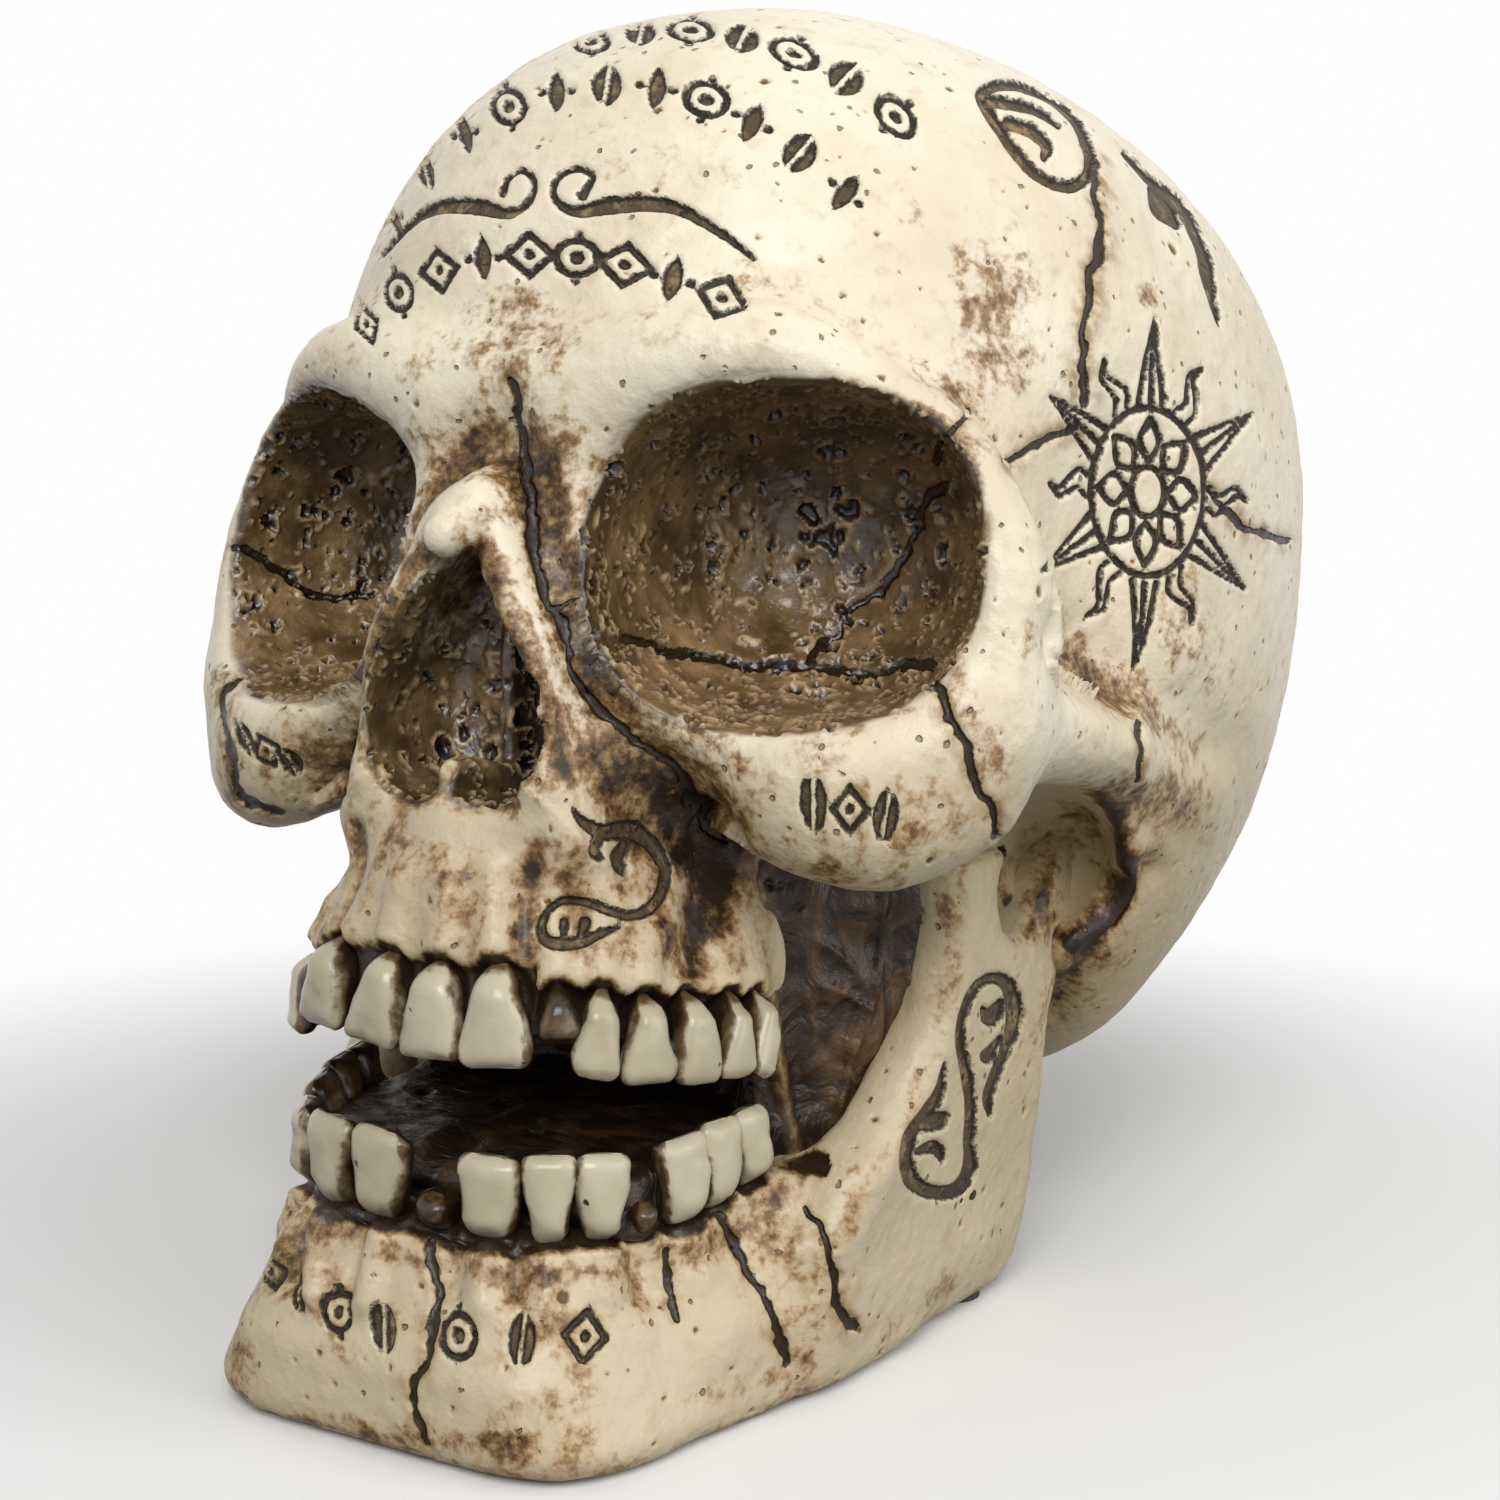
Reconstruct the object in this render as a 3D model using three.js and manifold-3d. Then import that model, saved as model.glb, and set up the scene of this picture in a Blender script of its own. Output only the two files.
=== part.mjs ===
import * as THREE from 'three';
import { mergeVertices } from 'three/addons/utils/BufferGeometryUtils.js';
import Module from 'manifold-3d';

const wasm = await Module();
wasm.setup();

// Overall size in millimetres: x across, y from front to back, z up from the table
const skullHeight = 174.3;
const skullWidth = 134;
const skullLength = 179.4;
const chinReach = 35; // front ahead of the middle of the eye sockets

// Working size of the modelling grid and of the gaps between pieces
const gridStep = 4.6; // over the face
const jawGridStep = 5.6;
const coarseStep = 12; // over the smooth vault
const gridGrowth = 1.3; // from step to step
const fineBack = 22;
const fineTop = 124;
const glueGap = 0.3;
const overrun = 4;
const curveSideCount = 24;

// Braincase, an egg that widens towards the back, between its forehead and its crown
const foreheadShare = -0.05;
const crownShare = 0.4125;
const backReach = 92.4;
const lowReach = 91;
const eggPower = 2.25;
const midWidthShare = 0.957;
const widenShare = 0.516;
const headSoft = 9; // how softly large forms run into each other
const formSoft = 7;
const fineSoft = 5;
const edgeSoft = 3;
const blockRound = 8;

// Underside of the braincase
const baseHeight = 24;
const baseFrontHeight = 56;
const baseStart = 44;
const baseSlopeShare = 1.2; // fall per unit of length

// Eye sockets
const eyeWidth = 43.2;
const eyeHeight = 38.8;
const eyeDepth = 29;
const eyeOffset = 33.6;
const eyeTurn = THREE.MathUtils.degToRad(13.6);
const eyePower = 2.35;

// Nose opening and the thin wall inside it
const noseDepth = 19;
const noseRimShare = -0.123;
const septumWidth = 2.2;
const septumHeight = 26;
const septumLength = 17;
const septumShare = 0.494;

// Hollow inside the braincase and its filling hole
const castingWall = 6;
const hollowFront = 40; // behind the eye sockets
const hollowStep = 11;
const holePlace = 94;
const holeDiameter = 24;
const plugFlange = 4;
const plugThickness = 3;
const plugDepth = 8;

// Lower jaw
const chinFront = 36.6; // ahead of the middle of the eye sockets
const chinSoft = 15;
const jawBodyHeight = 28.5;
const jawBodyBack = 24;
const jawLeanShare = 0.36; // backward lean of the front per unit of height
const leanStart = 11;
const slopeStart = 4;
const branchLeanShare = 0.12; // the foot of the branch follows the jaw body inwards towards the front
const branchLeanEnd = 60;
const branchLeanBack = 45;
const ramusThickness = 10;
const ramusTop = 73; // inside the cheek of the upper casting
const partingHeight = 64; // seam between the two castings across the branch

// Bone over the upper teeth
const upperBoneHalfWidth = 28.5;
const upperBoneFront = 38; // ahead of its middle
const upperBoneMiddle = 13.5;
const upperBoneBack = 22;
const upperBonePower = 2.4;
const upperBoneRise = 63;
const upperBoneHalfHeight = 18;
const upperBoneLeanShare = 0.36;
const upperBoneTop = 82;
const upperBoneLow = 44;
const narrowingStart = 55;
const narrowingShare = 0.3;

// Dark lining of the mouth
const liningTop = 68;
const liningBottom = 18;
const mouthFloorTop = 31.5;
const mouthFloorThickness = 6;
const upperJawUnderside = 45;

// Teeth: the two arches and the crowns
const upperArchFront = 28.5;
const upperArchHalfWidth = 31.4;
const upperArchDepth = 42;
const upperTipHeight = 46.3;
const upperCrown = 12.5;
const lowerArchFront = 30.4;
const lowerArchHalfWidth = 32.4;
const lowerArchDepth = 45;
const lowerTipHeight = 35.3;
const lowerCrown = 10;
const archPower = 2.6;
const toothDepth = 7.4;
const toothSetBack = 2.5;
const rootLength = 5;
const toothSideCount = 8;

// Felt pads under the jaw
const padDiameter = 8;
const padThickness = 1.2;
const padProud = 0.5; // what shows below the jaw

// Places across, along, up and radii, as shares of the overall size
const backRidgeShares = [
  [0.597, 0.4, 0.264, 0.052], [0.448, 0.511, 0.207, 0.052], [0.149, 0.589, 0.19, 0.052],
];
const noseWallShares = [
  [0.06, -0.072, 0.62, 0.026], [0.127, -0.091, 0.557, 0.029], [0.176, -0.089, 0.505, 0.032],
  [0.197, -0.084, 0.459, 0.034], [0.188, -0.078, 0.413, 0.04],
];
const noseSideShares = [
  [0.119, -0.033, 0.62, 0.034], [0.224, -0.039, 0.551, 0.034], [0.284, -0.033, 0.482, 0.04],
];
const noseBridgeShares = [
  [0, -0.006, 0.688, 0.052], [0, -0.025, 0.648, 0.031], [0, -0.067, 0.625, 0.026],
  [0, -0.106, 0.604, 0.021],
];
const noseSpineShares = [[0, -0.095, 0.425, 0.023], [0, -0.111, 0.367, 0.029]];
const browShares = [
  [0.119, -0.025, 0.683, 0.034], [0.299, -0.02, 0.711, 0.032], [0.478, 0, 0.72, 0.029],
  [0.604, 0.028, 0.686, 0.029], [0.722, 0.056, 0.652, 0.033], [0.788, 0.064, 0.602, 0.038],
  [0.818, 0.066, 0.551, 0.045], [0.8, 0.058, 0.499, 0.05],
];
const browRootShares = [[0.4, 0.1, 0.66, 0.066], [0.64, 0.075, 0.665, 0.036]]; // bone behind the brow
const cheekShares = [
  [0.254, -0.028, 0.47, 0.034], [0.433, -0.026, 0.459, 0.04], [0.59, -0.007, 0.448, 0.049],
  [0.721, 0.03, 0.456, 0.052],
];
const cheekLowShares = [
  [0.448, -0.011, 0.442, 0.033], [0.575, -0.016, 0.422, 0.04], [0.693, 0.002, 0.41, 0.04],
  [0.769, 0.05, 0.43, 0.043],
];
const cheekArchShares = [
  [0.761, 0.056, 0.47, 0.052], [0.806, 0.123, 0.47, 0.044], [0.855, 0.201, 0.453, 0.034],
  [0.87, 0.279, 0.435, 0.029], [0.851, 0.368, 0.41, 0.033], [0.776, 0.446, 0.367, 0.034],
];
const pocketShares = [
  [0.716, 0.133, 0.379, 0.037], [0.731, 0.211, 0.362, 0.046], [0.731, 0.278, 0.333, 0.04],
];
const noseShares = [
  [0, 0, 0.575, 0.013], [0.04, 0, 0.539, 0.029], [0.066, 0, 0.488, 0.046], [0.075, 0, 0.465, 0.042],
];
const jawSideShares = [
  [0.388, -0.045, 0.06, 0.046], [0.455, 0.078, 0.06, 0.044], [0.515, 0.212, 0.06, 0.04],
];
const templeShares = { place: [1, 0.178, 0.586], reach: [0.187, 0.094, 0.144] };
const templeTopShares = { place: [0.985, 0.1, 0.782], reach: [0.164, 0.078, 0.098] };
const fossaShares = { place: [0.373, -0.1, 0.419], reach: [0.097, 0.05, 0.063] };
const midFaceShares = { place: [0, 0.078, 0.516], reach: [0.313, 0.106, 0.149] };
const eyeFloorShares = { place: [0.418, 0.095, 0.436], reach: [0.269, 0.084, 0.049] };
// Jaw branch: height, middle across, front edge and back edge
const ramusShares = [
  [0, 0.537, 0.022, 0.279], [0.057, 0.572, 0, 0.297], [0.115, 0.591, -0.006, 0.298],
  [0.161, 0.606, 0.028, 0.298], [0.207, 0.613, 0.078, 0.3], [0.252, 0.62, 0.111, 0.312],
  [0.298, 0.621, 0.123, 0.334], [0.356, 0.621, 0.123, 0.39], [0.413, 0.621, 0.123, 0.424],
];
const notchShares = [[0, 0.234, 0.333, 0.037], [0, 0.279, 0.413, 0.057]];
// Half width of the jaw body from chin to back
const jawWidthShares = [
  [-0.156, 0.445], [-0.095, 0.479], [-0.031, 0.519], [0.035, 0.558],
  [0.1, 0.587], [0.173, 0.618], [0.268, 0.648],
];
// Outward slope of the jaw body from chin to back, per unit of height
const jawSlopeShares = [[-0.139, 0.42], [0, 0.26], [0.167, 0]];
// Outline of the lining seen from above, across and along
const cheekWebShares = [
  [0.395, 0.195], [0.395, 0.042], [0.41, 0.039], [0.61, 0.14], [0.61, 0.19], [0.56, 0.215],
];
const throatShares = [
  [0.313, 0.134], [0.38, 0.039], [0.41, 0.039], [0.58, 0.118], [0.58, 0.19], [0.54, 0.215],
];
const mouthFloorShares = [
  [0.11, -0.113], [0.21, -0.1], [0.272, -0.06], [0.305, 0], [0.32, 0.04], [0.32, 0.15],
];
// Teeth: place along the arch as a share of its half width, then width and height as shares of a crown
const crownWidth = 8.3;
const upperToothShares = [
  [0.134, 0.88, 1], [0.392, 0.83, 1], [0.602, 0.48, 0.8], [0.777, 0.58, 0.96],
  [0.975, 0.64, 0.96], [1.175, 0.6, 0.92], [1.37, 0.6, 0.88], [1.548, 0.5, 0.8],
];
const lowerToothShares = [
  [0.133, 0.85, 1], [0.377, 0.79, 1], [0.596, 0.67, 1], [0.784, 0.5, 0.95],
  [0.944, 0.43, 0.6], [1.117, 0.58, 0.9], [1.29, 0.52, 0.9], [1.457, 0.52, 0.85],
];
// Height left of the broken teeth
const brokenTeeth = { upper_tooth_left_3: 0.6, lower_tooth_left_1: 0.45, lower_tooth_left_5: 0.6 };
const crownProfileShares = [[0, 0], [0.84, 0.03], [1, 0.28], [0.86, 0.64], [0.7, 0.99], [0, 1]];
const padPlaceShares = [[0.28, -0.11], [0.535, 0.242]];

const halfWidth = skullWidth / 2;
const eggMiddle = skullLength - chinReach - backReach;
const frontReach = eggMiddle - foreheadShare * skullLength;
const topReach = crownShare * skullHeight;
const eggRise = skullHeight - topReach;
const jawUnderside = padProud;

const boneMaterial = new THREE.MeshStandardMaterial({ color: 0xdccfa8, roughness: 0.42, metalness: 0 });
const liningMaterial = new THREE.MeshStandardMaterial({ color: 0x3a2110, roughness: 0.25, metalness: 0 });
const toothMaterial = new THREE.MeshStandardMaterial({ color: 0xd9d2b8, roughness: 0.3, metalness: 0 });
const plugMaterial = new THREE.MeshStandardMaterial({ color: 0x2b2724, roughness: 0.8, metalness: 0 });
const feltMaterial = new THREE.MeshStandardMaterial({ color: 0x1d1c1a, roughness: 0.95, metalness: 0 });

// Soft joins and cuts of distances
function softMin(a, b, soft) {
  const mix = Math.max(soft - Math.abs(a - b), 0) / soft;
  return Math.min(a, b) - mix * mix * soft / 4;
}
const softMax = (a, b, soft) => -softMin(-a, -b, soft);
const softCut = (a, b, soft) => softMax(a, -b, soft);

const across = (share) => share * halfWidth;
const along = (share) => share * skullLength;
const up = (share) => share * skullHeight;
const spot = (shares) => [across(shares[0]), along(shares[1]), up(shares[2])];

function egg(x, y, z, place, reach) {
  const local = [(x - place[0]) / reach[0], (y - place[1]) / reach[1], (z - place[2]) / reach[2]];
  const size = Math.hypot(...local);
  const steep = Math.hypot(local[0] / reach[0], local[1] / reach[1], local[2] / reach[2]);
  return steep > 0 ? size * (size - 1) / steep : -Math.min(...reach);
}

function softBox(x, y, z, place, reach, round) {
  const q = [x - place[0], y - place[1], z - place[2]].map((v, i) => Math.abs(v) - reach[i] + round);
  return Math.hypot(...q.map((v) => Math.max(v, 0))) + Math.min(Math.max(...q), 0) - round;
}

// A limb through balls of changing radius, given as shares, along a smooth curve
const limbRunCount = 3; // straight runs from ball to ball
function limb(shares) {
  const centres = shares.map((row) => new THREE.Vector3(...spot(row)));
  const curve = new THREE.CatmullRomCurve3(centres, false, 'catmullrom');
  const last = shares.length - 1;
  const balls = [];
  for (let i = 0; i <= last * limbRunCount; i += 1) {
    const before = Math.min(Math.floor(i / limbRunCount), last - 1);
    const [start, end] = [shares[before][3], shares[before + 1][3]];
    const centre = curve.getPoint(i / (last * limbRunCount)).toArray();
    balls.push({ centre, radius: up(start + (end - start) * (i / limbRunCount - before)) });
  }
  const runs = balls.slice(1).map((end, i) => {
    const start = balls[i];
    const run = end.centre.map((v, axis) => v - start.centre[axis]);
    return { start, run, reach: run.reduce((sum, v) => sum + v * v, 0), growth: end.radius - start.radius };
  });
  return (x, y, z) => {
    let nearest = Infinity;
    for (const { start, run, reach, growth } of runs) {
      const from = [x - start.centre[0], y - start.centre[1], z - start.centre[2]];
      const part = (from[0] * run[0] + from[1] * run[1] + from[2] * run[2]) / reach;
      const step = Math.min(Math.max(part, 0), 1);
      const off = Math.hypot(from[0] - run[0] * step, from[1] - run[1] * step, from[2] - run[2] * step);
      nearest = Math.min(nearest, off - start.radius - growth * step);
    }
    return nearest;
  };
}

function between(value, rows, column) {
  if (value <= rows[0][0]) return rows[0][column];
  for (let i = 0; i + 1 < rows.length; i += 1) {
    const [low, high] = [rows[i], rows[i + 1]];
    const part = (value - low[0]) / (high[0] - low[0]);
    if (part < 1) return low[column] + (high[column] - low[column]) * part;
  }
  return rows[rows.length - 1][column];
}

const backRidge = limb(backRidgeShares);
const noseWall = limb(noseWallShares);
const noseSide = limb(noseSideShares);
const noseBridge = limb(noseBridgeShares);
const noseSpine = limb(noseSpineShares);
const brow = limb(browShares);
const cheek = limb(cheekShares);
const cheekLow = limb(cheekLowShares);
const browRoot = limb(browRootShares);
const cheekArch = limb(cheekArchShares);
const pocket = limb(pocketShares);
const noseCut = limb(noseShares);
const jawSide = limb(jawSideShares);
const notch = limb(notchShares);

// Size of a point in a rounded-square measure
const powerSize = (shares, power) => (
  shares.reduce((sum, v) => sum + Math.abs(v) ** power, 0) ** (1 / power));

function braincase(x, y, z) {
  const back = y - eggMiddle;
  const rise = z - eggRise;
  const width = halfWidth * midWidthShare * (1 + widenShare * back / skullLength);
  const reach = [width, back < 0 ? frontReach : backReach, rise < 0 ? lowReach : topReach];
  const level = powerSize([x / reach[0], back / reach[1], rise / reach[2]], eggPower);
  return level > 0 ? Math.hypot(x, back, rise) * (1 - 1 / level) : -frontReach;
}

function eyeSocket(x, y, z) {
  const side = (x - eyeOffset) * Math.cos(eyeTurn) + y * Math.sin(eyeTurn);
  const deep = y * Math.cos(eyeTurn) - (x - eyeOffset) * Math.sin(eyeTurn);
  const rise = z - eggRise;
  const level = powerSize([side / (eyeWidth / 2), deep / eyeDepth, rise / (eyeHeight / 2)], eyePower);
  return level > 0 ? Math.hypot(side, deep, rise) * (1 - 1 / level) : -eyeHeight / 2;
}

const baseTilt = Math.hypot(1, baseSlopeShare);
const baseLine = (y, z) => (baseFrontHeight - z - (y - baseStart) * baseSlopeShare) / baseTilt;
const noseFloor = along(noseRimShare) + noseDepth;
const branchStart = partingHeight - overrun;

const clamp = THREE.MathUtils.clamp;
function upperBone(x, y, z) {
  const narrowing = clamp(z - narrowingStart, 0, upperBoneTop - narrowingStart) * narrowingShare;
  const width = upperBoneHalfWidth - narrowing;
  const drop = upperBoneRise - clamp(z, upperBoneLow, upperBoneTop);
  const front = upperBoneFront + drop * upperBoneLeanShare;
  const back = y - upperBoneMiddle;
  const level = powerSize([x / width, back / (back < 0 ? front : upperBoneBack)], upperBonePower);
  const plan = level > 0 ? Math.hypot(x, back) * (1 - 1 / level) : -width;
  return softMax(plan, Math.abs(z - upperBoneRise) - upperBoneHalfHeight, headSoft);
}

function faceField(side, y, z) {
  const block = (shares) => softBox(side, y, z, spot(shares.place), spot(shares.reach), blockRound);
  let face = softMin(upperBone(side, y, z), block(midFaceShares), formSoft);
  face = softMin(face, block(eyeFloorShares), formSoft);
  face = softCut(face, egg(side, y, z, spot(fossaShares.place), spot(fossaShares.reach)), formSoft);
  for (const piece of [noseWall, noseSide, noseBridge, noseSpine]) {
    face = softMin(face, piece(side, y, z), fineSoft);
  }
  return face;
}

// Branch of the lower jaw, a plate that runs on into the upper casting
function jawBranch(side, y, z) {
  const height = z / skullHeight;
  const lean = (branchLeanBack - y) * branchLeanShare * clamp(1 - z / branchLeanEnd, 0, 1);
  const plate = Math.abs(side - across(between(height, ramusShares, 1)) + lean) - ramusThickness / 2;
  const frontEdge = along(between(height, ramusShares, 2)) - y;
  const backEdge = y - along(between(height, ramusShares, 3));
  const rim = softMax(softMax(frontEdge, backEdge, formSoft), z - ramusTop, fineSoft);
  return softCut(softMax(plate, rim, fineSoft), notch(0, y, z), edgeSoft);
}

function upperField(x, y, z) {
  const side = Math.abs(x);
  let form = braincase(side, y, z);
  form = softMax(form, Math.max(baseHeight - z, baseLine(y, z)), headSoft);
  form = softMin(form, backRidge(side, y, z), formSoft);
  form = softMin(form, browRoot(side, y, z), fineSoft);
  for (const hollow of [templeShares, templeTopShares]) {
    form = softCut(form, egg(side, y, z, spot(hollow.place), spot(hollow.reach)), headSoft);
  }
  form = softMin(form, faceField(side, y, z), formSoft);
  form = softMin(form, brow(side, y, z), headSoft);
  form = softMin(form, softMin(cheek(side, y, z), cheekLow(side, y, z), formSoft), formSoft);
  form = softMin(form, cheekArch(side, y, z), fineSoft);
  form = softMin(form, softMax(jawBranch(side, y, z), branchStart - z, edgeSoft), fineSoft);
  form = softCut(form, pocket(side, y, z), fineSoft);
  form = softCut(form, eyeSocket(side, y, z), edgeSoft);
  return softCut(form, softMax(noseCut(side, 0, z), y - noseFloor, formSoft), edgeSoft);
}

function hollowField(x, y, z) {
  const inside = braincase(x, y, z) + castingWall;
  const floor = Math.max(baseHeight - z, baseLine(y, z)) + castingWall;
  return softMax(inside, Math.max(floor, hollowFront - y), headSoft);
}

function jawField(x, y, z) {
  const side = Math.abs(x);
  const slope = between(y / skullLength, jawSlopeShares, 1);
  const width = across(between(y / skullLength, jawWidthShares, 1));
  const flank = side - width + Math.max(z - slopeStart, 0) * slope;
  const front = -y - chinFront + Math.max(z - leanStart, 0) * jawLeanShare;
  let form = softMax(flank, front, chinSoft);
  form = softMax(form, y - jawBodyBack, fineSoft);
  form = softMax(form, z - jawBodyHeight, fineSoft);
  form = softMin(form, jawSide(side, y, z), fineSoft);
  return softMax(softMin(form, jawBranch(side, y, z), fineSoft), jawUnderside - z, edgeSoft);
}

// Closed skin of a field on a cubic grid: one vertex for each loop of crossings in a cell
const corners = [0, 1, 2, 3, 4, 5, 6, 7].map((n) => [n & 1, (n >> 1) & 1, n >> 2]);
const cellEdges = [];
corners.forEach((a, i) => corners.forEach((b, j) => {
  const apart = a.reduce((sum, v, axis) => sum + Math.abs(v - b[axis]), 0);
  if (j > i && apart === 1) cellEdges.push([i, j]);
}));
const cellFaces = [];
for (let axis = 0; axis < 3; axis += 1) {
  for (let wall = 0; wall < 2; wall += 1) {
    const onFace = (n) => corners[n][axis] === wall;
    cellFaces.push({
      corners: corners.map((c, n) => n).filter(onFace),
      edges: cellEdges.map((e, n) => n).filter((n) => cellEdges[n].every(onFace)),
    });
  }
}

function cellLoops(values) {
  const owner = cellEdges.map((edge, n) => n);
  const find = (n) => (owner[n] === n ? n : find(owner[n]));
  const join = (a, b) => { owner[find(a)] = find(b); };
  const crossed = cellEdges.map(([a, b]) => (values[a] < 0) !== (values[b] < 0));
  for (const face of cellFaces) {
    const cut = face.edges.filter((n) => crossed[n]);
    if (cut.length === 2) join(cut[0], cut[1]);
    if (cut.length === 4) {
      const middle = face.corners.reduce((sum, n) => sum + values[n], 0);
      for (const n of face.corners) {
        if ((values[n] < 0) !== (middle < 0)) {
          const pair = cut.filter((e) => cellEdges[e].includes(n));
          join(pair[0], pair[1]);
        }
      }
    }
  }
  return { crossed, loopOf: (n) => find(n) };
}

// Vertices evened out over the surface and set back on it
const evenPassCount = 4;
const probe = 0.2;
const longestShift = 2;
function settled(points, squares, field) {
  const places = [];
  for (let i = 0; i < points.length; i += 3) places.push(points.slice(i, i + 3));
  const near = places.map(() => new Set());
  for (const square of squares) {
    square.forEach((corner, n) => near[corner].add(square[(n + 1) % 4]).add(square[(n + 3) % 4]));
  }
  const setBack = (place) => {
    const value = field(...place);
    const slope = place.map((v, axis) => {
      const ahead = place.map((w, other) => (other === axis ? w + probe : w));
      return (field(...ahead) - value) / probe;
    });
    const steep = Math.max(slope.reduce((sum, v) => sum + v * v, 0), 1 / 4);
    return place.map((v, axis) => v - clamp(value * slope[axis] / steep, -longestShift, longestShift));
  };
  for (let pass = 0; pass < evenPassCount; pass += 1) {
    const middles = places.map((place, n) => place.map((v, axis) => {
      let sum = 0;
      for (const other of near[n]) sum += places[other][axis];
      return (v + sum / near[n].size) / 2;
    }));
    middles.forEach((middle, n) => { places[n] = setBack(setBack(middle)); });
  }
  return places;
}

function skin(field, places) {
  const counts = places.map((list) => list.length - 1);
  const [nx, ny, nz] = counts;
  const place = (v, axis) => {
    const cell = Math.min(Math.floor(v), counts[axis] - 1);
    return places[axis][cell] + (places[axis][cell + 1] - places[axis][cell]) * (v - cell);
  };
  const index = (i, j, k) => (k * (ny + 1) + j) * (nx + 1) + i;
  const values = new Float64Array((nx + 1) * (ny + 1) * (nz + 1));
  for (let k = 0; k <= nz; k += 1) {
    for (let j = 0; j <= ny; j += 1) {
      for (let i = 0; i <= nx; i += 1) {
        values[index(i, j, k)] = field(place(i, 0), place(j, 1), place(k, 2));
      }
    }
  }
  const points = [];
  const pointOf = new Map();
  for (let k = 0; k < nz; k += 1) {
    for (let j = 0; j < ny; j += 1) {
      for (let i = 0; i < nx; i += 1) {
        const cell = corners.map((c) => values[index(i + c[0], j + c[1], k + c[2])]);
        if (cell.every((v) => v < 0) || cell.every((v) => v >= 0)) continue;
        const { crossed, loopOf } = cellLoops(cell);
        const sums = new Map();
        cellEdges.forEach(([a, b], n) => {
          if (!crossed[n]) return;
          const part = cell[a] / (cell[a] - cell[b]);
          const loop = loopOf(n);
          if (!sums.has(loop)) sums.set(loop, [0, 0, 0, 0]);
          const sum = sums.get(loop);
          corners[a].forEach((v, axis) => { sum[axis] += v + (corners[b][axis] - v) * part; });
          sum[3] += 1;
        });
        for (const [loop, sum] of sums) {
          const centre = [i, j, k].map((v, axis) => place(v + sum[axis] / sum[3], axis));
          const edges = cellEdges.map((edge, n) => n).filter((n) => crossed[n] && loopOf(n) === loop);
          for (const n of edges) pointOf.set(index(i, j, k) * cellEdges.length + n, points.length / 3);
          points.push(...centre);
        }
      }
    }
  }
  const squares = [];
  const edgeBetween = (a, b) => cellEdges.findIndex(
    ([s, t]) => s === Math.min(a, b) && t === Math.max(a, b),
  );
  for (let axis = 0; axis < 3; axis += 1) {
    const [u, v] = [(axis + 1) % 3, (axis + 2) % 3];
    const ends = counts.map((n, a) => (a === axis ? n : n - 1));
    const starts = [0, 1, 2].map((a) => (a === axis ? 0 : 1));
    for (let k = starts[2]; k <= ends[2] - (axis === 2 ? 1 : 0); k += 1) {
      for (let j = starts[1]; j <= ends[1] - (axis === 1 ? 1 : 0); j += 1) {
        for (let i = starts[0]; i <= ends[0] - (axis === 0 ? 1 : 0); i += 1) {
          const next = [i, j, k];
          next[axis] += 1;
          const here = values[index(i, j, k)] < 0;
          if (here === values[index(...next)] < 0) continue;
          const ring = [[0, 0], [1, 0], [1, 1], [0, 1]].map(([du, dv]) => {
            const cell = [i, j, k];
            cell[u] -= du;
            cell[v] -= dv;
            const corner = (du << u) | (dv << v);
            const edge = edgeBetween(corner, corner | (1 << axis));
            return pointOf.get(index(...cell) * cellEdges.length + edge);
          });
          squares.push(here ? ring : ring.reverse());
        }
      }
    }
  }
  const spots = settled(points, squares, field);
  const middleDepth = (m, n) => Math.abs(field(...spots[m].map((v, axis) => (v + spots[n][axis]) / 2)));
  const faces = squares.flatMap(([a, b, c, d]) => (
    middleDepth(a, c) <= middleDepth(b, d) ? [a, b, c, a, c, d] : [b, c, d, b, d, a]));
  return solidFrom(spots.flat(), faces);
}

// Solids that are joined and cut
function solidFrom(points, faces) {
  const vertProperties = new Float32Array(points);
  const triVerts = new Uint32Array(faces);
  return new wasm.Manifold(new wasm.Mesh({ numProp: 3, vertProperties, triVerts }));
}

function solidOf(geometry) {
  const bare = geometry.clone();
  bare.deleteAttribute('normal');
  bare.deleteAttribute('uv');
  const merged = mergeVertices(bare);
  return solidFrom(merged.attributes.position.array, merged.index.array);
}

function geometryOf(solid) {
  const mesh = solid.getMesh();
  const geometry = new THREE.BufferGeometry();
  geometry.setAttribute('position', new THREE.BufferAttribute(new Float32Array(mesh.vertProperties), 3));
  geometry.setIndex(Array.from(mesh.triVerts));
  return geometry;
}

function plate(outline, bottom, top) {
  const shape = new THREE.Shape(outline.map(([x, y]) => new THREE.Vector2(x, y)));
  const geometry = new THREE.ExtrudeGeometry(shape, { depth: top - bottom, bevelEnabled: false });
  return geometry.translate(0, 0, bottom);
}

function disc(radius, bottom, top, x, y) {
  const geometry = new THREE.CylinderGeometry(radius, radius, top - bottom, curveSideCount);
  return geometry.rotateX(Math.PI / 2).translate(x, y, (top + bottom) / 2);
}

function box(low, high) {
  const size = high.map((v, axis) => v - low[axis]);
  const geometry = new THREE.BoxGeometry(...size);
  return geometry.translate(...low.map((v, axis) => v + size[axis] / 2));
}

// Mirrored outline: the given right side, then its reflection
const mirrored = (points) => [...points, ...points.map(([x, y]) => [-x, y]).reverse()];

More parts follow.
